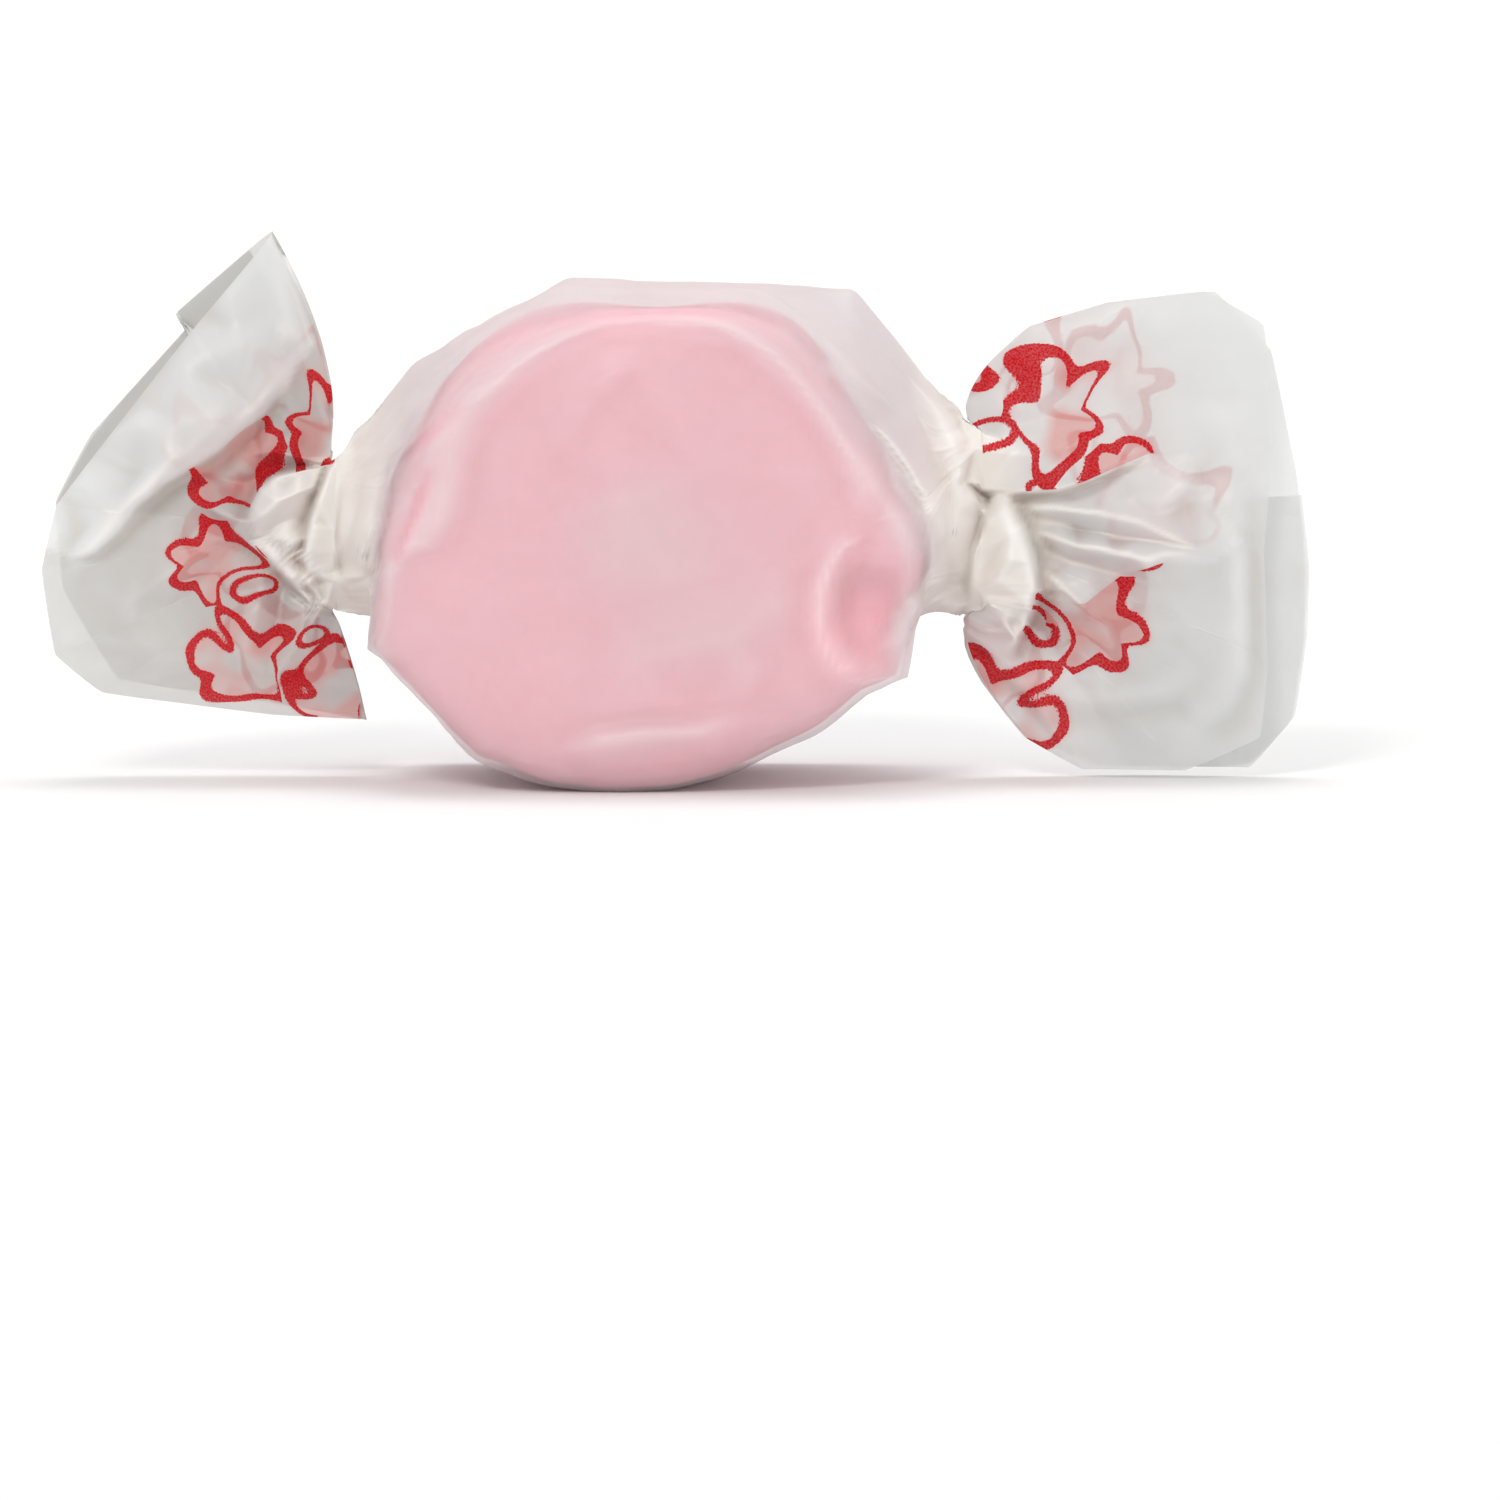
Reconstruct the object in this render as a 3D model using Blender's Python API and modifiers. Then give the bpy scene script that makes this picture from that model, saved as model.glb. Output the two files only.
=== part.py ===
"""Salt water taffy in a twist wrap: an oval drum of pulled candy, stood on its edge, rolled in one
sheet of waxed paper whose two ends are twisted shut and open out into fans.

Axes: X runs along the twist from the left fan to the right one, -Y is the side with the candy's
round face in view, +Z is up. The origin is under the middle of the whole piece, on the surface
that it stands on.
"""

import math
from dataclasses import dataclass

import bpy
import numpy as np
from mathutils import Vector
from mathutils.bvhtree import BVHTree

MM = 0.001

# The sheet of waxed paper, drawn thicker than the real 0.05 mm so that it is a sound solid
PAPER = 0.25 * MM
CLEARANCE = 0.45 * MM
SHEET_ROWS = 50
SHEET_COLUMNS = 50
LEFT_FAN_SHARE = 0.26
RIGHT_FAN_SHARE = 0.28

# The candy: an oval drum, its round faces to the front and back. Its weight flattens the underside
CANDY_DEPTH = 15.4 * MM
CANDY_RADII = [11.7, 10.4, 11.2, 10.0, 11.3, 11.6, 12.0, 12.1, 11.3, 10.4, 10.0, 10.8]  # mm, every 30 degrees
FLATTENING = 0.09 * MM
CANDY_FOOT = PAPER + CLEARANCE - FLATTENING
CANDY_X = -0.6 * MM
CANDY_Z = CANDY_FOOT + 10.0 * MM
RIM_SQUARENESS = 6.0
FACE_DISH = 0.3 * MM
DENT_X = 8.9 * MM
DENT_Z = 7.6 * MM
DENT_RADIUS = 2.2 * MM
DENT_DEPTH = 1.7 * MM
CANDY_SEGMENTS = 44
CANDY_RINGS = 20

# How the sheet runs round the candy, in degrees: 0 is the front, 90 the top, 180 the back
INNER_EDGE = 115.0
WRAP_TURN = 435.0
LAP_LIFT = 0.62 * MM
LAP_RAMP = 26.0

# The reach of the paper is worked out on this many rings and every so many degrees
REACH_RINGS = 59
REACH_STEP = 5.0

# Rows of the grid crowd towards the necks by this share
CROWDING = 0.35

# The paper stands clear of the candy's top like a tent: its ridge as (x, z) in mm
TENT_RIDGE = [(-14.6, 14.4), (-11.6, 17.9), (-5.0, 21.5), (8.2, 21.4), (13.0, 15.4)]
TENT_ANGLE = 92.0
TENT_WIDTH = 46.0

# The twisted necks
NECK_RADIUS = 2.2 * MM
TWIST_LENGTH = 2.6 * MM
PLEATS = 8
PLEAT_DEPTH = 1.2 * MM
UNWIND_SHARE = 0.3

# How a fan leaves its neck, and how far it stays above the surface that the candy stands on
BEND_SHARE = 0.06
ROUND_FADE = 2.2
FAN_FOOT = 0.4 * MM


@dataclass
class Fan:
    """One end of the sheet past its twist. The folds lie round the cut edge from the top fold down
    the front layer to the bottom fold and back up behind, each as (out, up, back, bow out, bow up)
    in mm from the middle of the neck."""

    side: int
    neck_x: float
    neck_z: float
    twist: float
    front_folds: list
    back_folds: list


LEFT_FAN = Fan(
    side=-1,
    neck_x=-15.0 * MM,
    neck_z=10.8 * MM,
    twist=-70.0,
    front_folds=[
        (2.7, 13.3, 0.6, -1.7, 0.4),
        (6.7, 9.4, -0.5, 0.0, 0.0),
        (10.4, 3.9, -1.5, 0.0, 0.6),
        (11.8, -0.1, -2.0, 0.0, 1.6),
        (10.8, 1.6, -0.9, 0.0, 1.0),
        (13.1, -1.5, -1.0, 0.0, 0.0),
        (12.5, -5.3, -0.8, 0.0, 0.0),
        (10.4, -7.1, -0.3, 0.0, 0.0),
        (3.0, -8.1, 0.0, 0.0, 0.0),
        (-1.3, -8.4, 0.9, 0.0, 0.0),
    ],
    back_folds=[
        (3.4, -7.6, 1.5, 0.0, 0.0),
        (9.8, -6.6, 1.3, 0.0, 0.0),
        (12.2, -2.6, 0.8, 0.0, 0.0),
        (12.5, 1.2, 0.7, 0.0, 0.0),
        (10.9, 4.2, 0.9, 0.0, 0.0),
        (7.2, 9.4, 1.2, 0.0, 0.0),
    ],
)
RIGHT_FAN = Fan(
    side=1,
    neck_x=13.8 * MM,
    neck_z=11.7 * MM,
    twist=70.0,
    front_folds=[
        (2.2, 8.5, 0.8, -1.8, 0.6),
        (5.7, 9.6, -0.2, 0.0, 0.0),
        (9.9, 10.1, -0.6, 0.0, 0.0),
        (12.5, 8.6, -1.0, 0.0, 0.0),
        (13.5, 3.6, -1.8, 0.0, 0.0),
        (12.9, -1.4, -1.9, 0.0, 0.0),
        (13.2, -6.4, -1.3, 0.0, 0.0),
        (12.4, -9.7, -0.6, 0.0, 0.0),
        (8.8, -11.3, -0.1, 0.0, 0.0),
        (4.6, -11.2, 0.4, -0.6, 0.0),
        (2.0, -9.8, 1.2, -1.9, 0.0),
    ],
    back_folds=[
        (6.6, -11.6, 1.9, 0.0, 0.0),
        (12.3, -11.0, 1.3, 0.0, 0.0),
        (14.3, -8.6, 0.9, 0.0, 0.0),
        (14.9, -2.1, -0.1, 0.0, 0.0),
        (14.2, 2.4, -0.1, 0.0, 0.0),
        (12.9, 7.4, 0.8, 0.0, 0.0),
        (10.4, 10.0, 1.3, 0.0, 0.0),
        (5.6, 9.5, 1.6, 0.0, 0.0),
    ],
)


def smooth_step(value):
    """0 below 0, 1 above 1, and a smooth rise between."""
    t = np.clip(value, 0.0, 1.0)
    return t * t * (3.0 - 2.0 * t)


def along_loop(stations, place):
    """Values on a smooth closed curve through the rows of stations, at places counted in rows."""
    stations = np.asarray(stations, float)
    count = len(stations)
    place = np.asarray(place) % count
    knot = np.floor(place).astype(int)
    t = (place - knot).reshape(place.shape + (1,) * (stations.ndim - 1))
    before, here, after, beyond = (stations[(knot + step) % count] for step in (-1, 0, 1, 2))
    return (
        here * (1 + 2 * t) * (1 - t) ** 2
        + (after - before) / 2 * t * (1 - t) ** 2
        + after * t * t * (3 - 2 * t)
        + (beyond - here) / 2 * t * t * (t - 1)
    )


def clear_scene():
    """Removes whatever the opened file holds."""
    for thing in list(bpy.data.objects):
        bpy.data.objects.remove(thing, do_unlink=True)


def new_material(name, colour, roughness):
    """A plain Principled finish."""
    material = bpy.data.materials.new(name)
    material.use_nodes = True
    shader = material.node_tree.nodes["Principled BSDF"]
    shader.inputs["Base Color"].default_value = (*colour, 1.0)
    shader.inputs["Roughness"].default_value = roughness
    shader.inputs["Metallic"].default_value = 0.0
    return material


def read_points(mesh):
    """The mesh's points as rows of an array."""
    points = np.empty(len(mesh.vertices) * 3)
    mesh.vertices.foreach_get("co", points)
    return points.reshape(-1, 3)


def write_points(mesh, points):
    """Moves the mesh's points to the rows of an array and shades it smooth."""
    mesh.vertices.foreach_set("co", points.ravel())
    mesh.update()
    mesh.shade_smooth()


def make_candy():
    """The drum: a sphere with its poles front and back, squared up to a pillow-edged oval."""
    bpy.ops.mesh.primitive_uv_sphere_add(segments=CANDY_SEGMENTS, ring_count=CANDY_RINGS, radius=1.0)
    candy = bpy.context.object
    candy.name = "taffy"
    points = read_points(candy.data)
    across, up, depth = points[:, 0], points[:, 1], -points[:, 2]
    ring = np.hypot(across, up)
    angle = np.arctan2(up, across) % (2 * math.pi)
    square = (ring**RIM_SQUARENESS + np.abs(depth) ** RIM_SQUARENESS) ** (-1 / RIM_SQUARENESS)
    outline = along_loop(CANDY_RADII, angle / (2 * math.pi) * len(CANDY_RADII)) * MM
    radius = ring * square * outline
    x = CANDY_X + radius * np.cos(angle)
    z = np.maximum(CANDY_Z + radius * np.sin(angle), CANDY_FOOT)
    dish = FACE_DISH * (1 - smooth_step(radius / (8 * MM)))
    y = depth * square * CANDY_DEPTH / 2 - np.sign(depth) * dish
    from_dent = np.hypot(x - DENT_X, z - DENT_Z) / DENT_RADIUS
    y += np.where(y < 0, DENT_DEPTH * np.exp(-(from_dent**2)), 0.0)
    write_points(candy.data, np.column_stack((x, y, z)))
    candy.data.materials.append(new_material("pink taffy", (0.80, 0.30, 0.36), 0.45))
    return candy


def taut_thread(places, reach):
    """A thread pulled tight over a row of reaches: its height at each place."""
    kept = []
    for index in range(len(places)):
        while len(kept) > 1:
            a, b = kept[-2], kept[-1]
            turn = (places[b] - places[a]) * (reach[index] - reach[a])
            turn -= (places[index] - places[a]) * (reach[b] - reach[a])
            if turn < 0:
                break
            kept.pop()
        kept.append(index)
    return np.interp(places, places[kept], reach[kept])


def axis_height(x):
    """Height of the twist axis, which rises a little from the left neck to the right one."""
    rise = (RIGHT_FAN.neck_z - LEFT_FAN.neck_z) / (RIGHT_FAN.neck_x - LEFT_FAN.neck_x)
    return LEFT_FAN.neck_z + rise * (x - LEFT_FAN.neck_x)


def wrap_reaches(candy):
    """How far the paper stands from the twist axis: a table by place along X and by angle."""
    tree = BVHTree.FromPolygons(
        [v.co.copy() for v in candy.data.vertices], [tuple(p.vertices) for p in candy.data.polygons]
    )
    places = np.linspace(LEFT_FAN.neck_x, RIGHT_FAN.neck_x, REACH_RINGS)
    angles = np.arange(0.0, 360.0 + REACH_STEP, REACH_STEP)
    table = np.zeros((len(places), len(angles)))
    for column, angle in enumerate(np.radians(angles)):
        outward = Vector((0.0, -math.cos(angle), math.sin(angle)))
        reach = np.full(len(places), NECK_RADIUS - CLEARANCE - PAPER)
        for row, x in enumerate(places[1:-1], start=1):
            start = Vector((x, 0.0, axis_height(x)))
            hit = tree.ray_cast(start, outward)
            if hit[0] is not None:
                reach[row] = max(reach[row], hit[3])
        table[:, column] = taut_thread(places, reach) + CLEARANCE + PAPER
    return places, table


def look_up(places, table, x, angle):
    """The table's value at any place and angle, by straight interpolation."""
    row = np.interp(x, places, np.arange(len(places)))
    column = (angle % 360.0) / REACH_STEP
    i = np.minimum(row.astype(int), len(places) - 2)
    j = np.minimum(column.astype(int), table.shape[1] - 2)
    p, q = row - i, column - j
    low = table[i, j] * (1 - q) + table[i, j + 1] * q
    high = table[i + 1, j] * (1 - q) + table[i + 1, j + 1] * q
    return low * (1 - p) + high * p


def tent_reach(reaches, x, angle):
    """The taut reach, lifted to the tent's ridge at the top and less and less to either side."""
    ridge_x, ridge_z = (np.array(row) * MM for row in zip(*TENT_RIDGE))
    taut_top = look_up(*reaches, x, np.full_like(x, TENT_ANGLE))
    lift = np.interp(x, ridge_x, ridge_z, left=0.0, right=0.0) - axis_height(x) - taut_top
    off_top = (angle % 360.0 - TENT_ANGLE) / TENT_WIDTH
    return look_up(*reaches, x, angle) + np.maximum(lift, 0.0) * np.exp(-(off_top**2))


def gathers(turned):
    """The neck's sharp-crested pleats, from 0 in a valley to PLEAT_DEPTH on a crest."""
    return PLEAT_DEPTH * np.abs((turned * PLEATS / 360.0) % 1.0 * 2.0 - 1.0)


def lap_lift(turned):
    """How far the outer end of the sheet rides over the inner end."""
    return LAP_LIFT * smooth_step((turned - (INNER_EDGE + 360.0 - LAP_RAMP)) / LAP_RAMP)


def body_points(share, turned, reaches):
    """Points of the stretch over the candy. share runs from 0 at the left neck to 1 at the right."""
    even = 2 * share - 1
    crowded = even * (1 + CROWDING - CROWDING * even * even)
    x = LEFT_FAN.neck_x + (RIGHT_FAN.neck_x - LEFT_FAN.neck_x) * (crowded + 1) / 2
    into_left = smooth_step(1 - (x - LEFT_FAN.neck_x) / TWIST_LENGTH)
    into_right = smooth_step(1 - (RIGHT_FAN.neck_x - x) / TWIST_LENGTH)
    angle = turned + 0.5 * (LEFT_FAN.twist * into_left + RIGHT_FAN.twist * into_right)
    reach = tent_reach(reaches, x, angle) + gathers(turned) * (into_left + into_right) + lap_lift(turned)
    radians = np.radians(angle)
    return np.stack((x, -reach * np.cos(radians), axis_height(x) + reach * np.sin(radians)), axis=-1)


def fold_places(fan):
    """The place of each fold round the cut edge, from 0 to 1, by the length of edge between folds."""
    ends = np.array(fan.front_folds + fan.back_folds)[:, :3]
    steps = np.linalg.norm(np.roll(ends, -1, axis=0) - ends, axis=1)
    return np.concatenate(([0.0], np.cumsum(steps))) / steps.sum()


def fan_points(fan, outward, turned):
    """Points of one fan. outward runs from 0 at the neck to 1 at the cut edge."""
    folds = fan.front_folds + fan.back_folds
    places = fold_places(fan)
    bottom_place = places[len(fan.front_folds) - 1]
    unwound = 0.5 + 0.5 * smooth_step(outward / UNWIND_SHARE)
    angle = turned + fan.twist * unwound
    from_top = (90.0 - angle) % 360.0
    edge_place = np.interp(from_top, [0.0, 180.0, 360.0], [0.0, bottom_place, 1.0])
    station = np.interp(edge_place, places, np.arange(len(places)))
    ends = along_loop(folds, station) * MM

    reach = outward[:, None]
    target = np.column_stack((fan.side * ends[:, 0], ends[:, 2], ends[:, 1]))
    bow = np.column_stack((fan.side * ends[:, 3], np.zeros(len(ends)), ends[:, 4]))
    ahead = np.zeros_like(target)
    ahead[:, 0] = fan.side * np.linalg.norm(target, axis=1)
    settle = BEND_SHARE * (1 - np.exp(-reach / BEND_SHARE)) * (1 - reach)
    path = reach * target + settle * (ahead - target) + 4 * reach * (1 - reach) * bow

    ring = (NECK_RADIUS + gathers(turned)) * (1 - outward) ** ROUND_FADE + lap_lift(turned)
    radians = np.radians(angle)
    start = np.column_stack(
        (np.full(len(ends), fan.neck_x), -ring * np.cos(radians), fan.neck_z + ring * np.sin(radians))
    )
    placed = start + path
    placed[:, 2] = np.maximum(placed[:, 2], FAN_FOOT)
    return placed


def make_wrapper(candy):
    """The paper: a flat rectangular grid whose every point is moved to its place in the wrap."""
    bpy.ops.mesh.primitive_grid_add(x_subdivisions=SHEET_ROWS, y_subdivisions=SHEET_COLUMNS, size=2.0)
    wrapper = bpy.context.object
    wrapper.name = "wrapper"
    flat = read_points(wrapper.data)
    along = (flat[:, 0] + 1) / 2
    turned = INNER_EDGE + WRAP_TURN * (flat[:, 1] + 1) / 2
    left = np.clip(1 - along / LEFT_FAN_SHARE, 0, 1)
    right = np.clip((along - 1 + RIGHT_FAN_SHARE) / RIGHT_FAN_SHARE, 0, 1)
    middle = np.clip((along - LEFT_FAN_SHARE) / (1 - LEFT_FAN_SHARE - RIGHT_FAN_SHARE), 0, 1)

    placed = body_points(middle, turned, wrap_reaches(candy))
    placed = np.where((left > 0)[:, None], fan_points(LEFT_FAN, left, turned), placed)
    placed = np.where((right > 0)[:, None], fan_points(RIGHT_FAN, right, turned), placed)
    placed[:, 2] = np.maximum(placed[:, 2], 0.0)
    write_points(wrapper.data, placed)

    thicken = wrapper.modifiers.new("paper", "SOLIDIFY")
    thicken.thickness = PAPER
    thicken.offset = -1.0
    wrapper.data.materials.append(new_material("waxed paper", (0.86, 0.85, 0.83), 0.4))
    return wrapper


def centre_over_origin(things):
    """Moves the finished pieces together so that the box round them has its middle over the origin."""
    graph = bpy.context.evaluated_depsgraph_get()
    graph.update()
    low, high = np.full(3, np.inf), np.full(3, -np.inf)
    for thing in things:
        points = read_points(thing.evaluated_get(graph).data)
        low, high = np.minimum(low, points.min(axis=0)), np.maximum(high, points.max(axis=0))
    shift = -(low + high) / 2
    shift[2] = 0.0
    for thing in things:
        write_points(thing.data, read_points(thing.data) + shift)


def main():
    clear_scene()
    group = bpy.data.collections.new("wrapped taffy")
    bpy.context.scene.collection.children.link(group)
    candy = make_candy()
    wrapper = make_wrapper(candy)
    centre_over_origin((candy, wrapper))
    for thing in (candy, wrapper):
        for holder in list(thing.users_collection):
            holder.objects.unlink(thing)
        group.objects.link(thing)


main()
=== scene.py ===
"""The looks of one wrapped taffy: pink pulled candy in a sheet of waxed paper twisted shut at both ends.

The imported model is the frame. The candy and the paper are made again here, finer and creased, in
the place of the two solids, and a small studio stands round them. Lengths are in metres; X runs
along the twist, -Y faces the camera and +Z is up, with the candy on the floor at z = 0.
"""

import logging
import math
from dataclasses import dataclass
from enum import Enum

import bpy
import numpy as np
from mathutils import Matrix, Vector
from mathutils.bvhtree import BVHTree
from mathutils.geometry import delaunay_2d_cdt


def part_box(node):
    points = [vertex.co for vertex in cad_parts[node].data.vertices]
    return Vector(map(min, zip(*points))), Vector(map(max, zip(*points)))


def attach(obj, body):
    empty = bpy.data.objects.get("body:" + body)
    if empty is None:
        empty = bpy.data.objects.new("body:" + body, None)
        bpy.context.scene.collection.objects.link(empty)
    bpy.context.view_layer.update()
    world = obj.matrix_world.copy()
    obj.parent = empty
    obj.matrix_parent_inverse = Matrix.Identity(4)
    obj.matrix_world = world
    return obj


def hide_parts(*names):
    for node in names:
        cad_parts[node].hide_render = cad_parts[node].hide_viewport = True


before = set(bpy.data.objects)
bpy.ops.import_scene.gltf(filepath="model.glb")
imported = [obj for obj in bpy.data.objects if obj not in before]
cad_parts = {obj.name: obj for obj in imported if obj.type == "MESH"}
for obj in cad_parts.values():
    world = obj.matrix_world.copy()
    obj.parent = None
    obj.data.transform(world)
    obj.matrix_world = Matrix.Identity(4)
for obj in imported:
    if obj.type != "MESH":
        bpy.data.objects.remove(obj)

MM = 0.001
TINY = 1e-9
DOWN = Vector((0.0, 0.0, -1.0))
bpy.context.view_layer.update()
log = logging.getLogger("wrapped_taffy")


class Side(Enum):
    """The two ends of the sheet, with the sign of their direction along X."""

    LEFT = -1
    RIGHT = 1


def linear(hex_colour: str) -> tuple[float, float, float, float]:
    """Turns an sRGB hex colour to the linear colour that the shaders take.

    Args:
        hex_colour: the colour as "#rrggbb".

    Returns:
        Linear red, green, blue and an alpha of 1.
    """
    shares = [int(hex_colour[place : place + 2], 16) / 255 for place in (1, 3, 5)]
    lit = [s / 12.92 if s <= 0.04045 else ((s + 0.055) / 1.055) ** 2.4 for s in shares]
    return (*lit, 1.0)


def add_node(tree: bpy.types.NodeTree, kind: str, inputs: dict | None = None, **settings) -> bpy.types.Node:
    """Adds one shader node with its settings, values and links.

    Args:
        tree: the material's or world's node tree.
        kind: the node's Blender type.
        inputs: a plain value or another node's output for each socket, by name or number.
        **settings: the node's own properties.

    Returns:
        The new node.
    """
    node = tree.nodes.new(kind)
    for name, value in settings.items():
        setattr(node, name, value)
    for socket, value in (inputs or {}).items():
        if isinstance(value, bpy.types.NodeSocket):
            tree.links.new(value, node.inputs[socket])
        else:
            node.inputs[socket].default_value = value
    return node


def new_material(name: str) -> tuple[bpy.types.Material, bpy.types.NodeTree]:
    """Makes an empty node material.

    Args:
        name: the real material's name.

    Returns:
        The material and its cleared node tree.
    """
    material = bpy.data.materials.new(name)
    material.use_nodes = True
    material.node_tree.nodes.clear()
    return material, material.node_tree


def smooth_step(value: np.ndarray) -> np.ndarray:
    """0 below 0, 1 above 1, and a smooth rise between."""
    t = np.clip(value, 0.0, 1.0)
    return t * t * (3.0 - 2.0 * t)


def hump(value: np.ndarray) -> np.ndarray:
    """A bell of height 1 at 0 that is nearly gone at 2."""
    return np.exp(-np.square(value))


def along_loop(stations: np.ndarray, place: np.ndarray, roundness: float = 1.0) -> np.ndarray:
    """Values on a closed curve.

    Args:
        stations: the rows that the curve goes through.
        place: places on the curve, counted in rows.
        roundness: 1 for a smooth curve, 0 for straight runs with a corner at each row.

    Returns:
        One row of values for each place.
    """
    stations = np.asarray(stations, float)
    count = len(stations)
    place = np.asarray(place) % count
    knot = np.floor(place).astype(int)
    t = (place - knot).reshape(place.shape + (1,) * (stations.ndim - 1))
    before, here, after, beyond = (stations[(knot + step) % count] for step in (-1, 0, 1, 2))
    return (
        here * (1 + 2 * t) * (1 - t) ** 2
        + roundness * (after - before) / 2 * t * (1 - t) ** 2
        + after * t * t * (3 - 2 * t)
        + roundness * (beyond - here) / 2 * t * t * (t - 1)
    )


def read_points(mesh: bpy.types.Mesh) -> np.ndarray:
    """The mesh's points as rows of an array."""
    points = np.empty(len(mesh.vertices) * 3)
    mesh.vertices.foreach_get("co", points)
    return points.reshape(-1, 3)


def write_points(mesh: bpy.types.Mesh, points: np.ndarray) -> None:
    """Moves the mesh's points to the rows of an array."""
    mesh.vertices.foreach_set("co", np.ascontiguousarray(points, float).ravel())
    mesh.update()


@dataclass(frozen=True)
class Corners:
    """Corners that stand out of a rounded form's front part, as the camera sees it, with straight
    runs between them: rows of places (x, z) in mm, anticlockwise."""

    runs: tuple[tuple[tuple[float, float], ...], ...]
    bins: int = 120
    front: float = 4.0 * MM
    fade: float = 4.0
    from_share: float = 0.84
    share_range: float = 0.14
    from_depth: float = 0.5 * MM
    depth_range: float = 5.0 * MM

    def pull(self, points: np.ndarray) -> np.ndarray:
        """Pulls the front part's outline out to the corners, away from the candy's middle.

        Args:
            points: the points of the whole form, in rows.

        Returns:
            The moved points.
        """
        middle = (Candy.middle_x, Candy.middle_z)
        spots = points[:, [0, 2]] - middle
        radius = np.hypot(spots[:, 0], spots[:, 1])
        angle = np.degrees(np.arctan2(spots[:, 1], spots[:, 0])) % 360.0
        step = 360.0 / self.bins
        far = np.zeros(self.bins)
        np.maximum.at(far, (angle / step).astype(int) % self.bins, radius * (points[:, 1] < -self.front))
        outline = np.interp(angle, np.arange(self.bins) * step + step / 2, far, period=360.0)
        gain = np.zeros(len(points))
        for run in self.runs:
            ends = np.array(run) * MM - middle
            turns = [math.degrees(math.atan2(spot[1], spot[0])) % 360.0 for spot in ends]
            fade = smooth_step((angle - turns[0]) / self.fade) * smooth_step((turns[-1] - angle) / self.fade)
            for start, end, first, last in zip(ends[:-1], ends[1:], turns[:-1], turns[1:]):
                ray = np.radians(angle)
                across = np.cos(ray) * (end - start)[1] - np.sin(ray) * (end - start)[0]
                across = np.where(np.abs(across) < TINY, TINY, across)
                reach = (start[0] * end[1] - start[1] * end[0]) / across
                within = (angle >= first) & (angle <= last)
                gain = np.where(within, np.maximum(reach / outline - 1, 0.0) * fade, gain)
        share = smooth_step((radius / outline - self.from_share) / self.share_range)
        share *= smooth_step((-points[:, 1] - self.from_depth) / self.depth_range)
        moved = points.copy()
        moved[:, [0, 2]] = middle + spots * (1 + share * gain)[:, None]
        return moved


def surface_tree(thing: bpy.types.Object) -> BVHTree:
    """A search tree over the faces of a mesh object."""
    spots = [vertex.co.copy() for vertex in thing.data.vertices]
    return BVHTree.FromPolygons(spots, [tuple(face.vertices) for face in thing.data.polygons])


def height_on(tree: BVHTree, x: float, y: float, above: float = 10.0) -> float | None:
    """The height of a relief over a place, looked for from above it, or None beside it."""
    hit = tree.ray_cast(Vector((x, y, above)), DOWN)[0]
    return None if hit is None else hit.z


def away_from_line(spots: np.ndarray, start: np.ndarray, end: np.ndarray) -> np.ndarray:
    """How far places are from a straight run between two others."""
    step = end - start
    share = np.clip(((spots - start) @ step) / (step @ step), 0.0, 1.0)
    return np.linalg.norm(spots - start - share[..., None] * step, axis=-1)


def softened(field: np.ndarray, passes: int = 1) -> np.ndarray:
    """Values by row and column, each shared a little with its neighbours."""
    for _ in range(passes):
        for axis in (0, 1):
            field = 0.5 * field + 0.25 * (np.roll(field, 1, axis=axis) + np.roll(field, -1, axis=axis))
    return field


def dress_piece(piece: bpy.types.Object, material: bpy.types.Material) -> None:
    """Gives a piece its material and logs its size."""
    piece.data.materials.append(material)
    size = ", ".join(f"{side / MM:.1f}" for side in piece.dimensions)
    log.info("%s: %d faces, %s mm", piece.name, len(piece.data.polygons), size)


@dataclass(frozen=True)
class PulledTaffyFinish:
    """Pulled taffy: boiled sugar and corn syrup, pulled until it is full of fine air.

    The air makes it pale and soft looking, with light that goes a little way in; its skin is satin,
    because it is slightly oiled.
    """

    name: str = "pulled taffy"
    pale: str = "#fab6c4"
    deep: str = "#f2a0b1"
    roughness: float = 0.42
    ior: float = 1.49
    glow_depth: float = 1.2 * MM
    streak_size: float = 3.0 * MM
    grain_size: float = 0.35 * MM

    def build(self) -> bpy.types.Material:
        """Makes the material.

        Returns:
            The finished material.
        """
        material, tree = new_material(self.name)
        place = add_node(tree, "ShaderNodeTexCoord").outputs["Object"]
        # The pull leaves broad soft streaks of a slightly deeper pink
        stretched = add_node(tree, "ShaderNodeMapping", {"Vector": place, "Scale": (0.5, 1.0, 1.6)})
        streaks = add_node(
            tree,
            "ShaderNodeTexNoise",
            {"Vector": stretched.outputs[0], "Scale": 1 / self.streak_size, "Detail": 2.0, "Roughness": 0.45},
        )
        pinks = {"Factor": streaks.outputs["Fac"], 6: linear(self.pale), 7: linear(self.deep)}
        colour = add_node(tree, "ShaderNodeMix", pinks, data_type="RGBA")
        grains = {"Vector": place, "Scale": 1 / self.grain_size, "Detail": 3.0}
        height = add_node(tree, "ShaderNodeTexNoise", grains).outputs["Fac"]
        bump = add_node(tree, "ShaderNodeBump", {"Height": height, "Strength": 0.25, "Distance": 0.05 * MM})
        shader = add_node(
            tree,
            "ShaderNodeBsdfPrincipled",
            {
                "Base Color": colour.outputs[2],
                "Roughness": self.roughness,
                "IOR": self.ior,
                "Subsurface Weight": 0.35,
                "Subsurface Radius": (1.0, 0.55, 0.5),
                "Subsurface Scale": self.glow_depth,
                "Normal": bump.outputs[0],
            },
        )
        add_node(tree, "ShaderNodeOutputMaterial", {"Surface": shader.outputs[0]})
        return material


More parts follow.
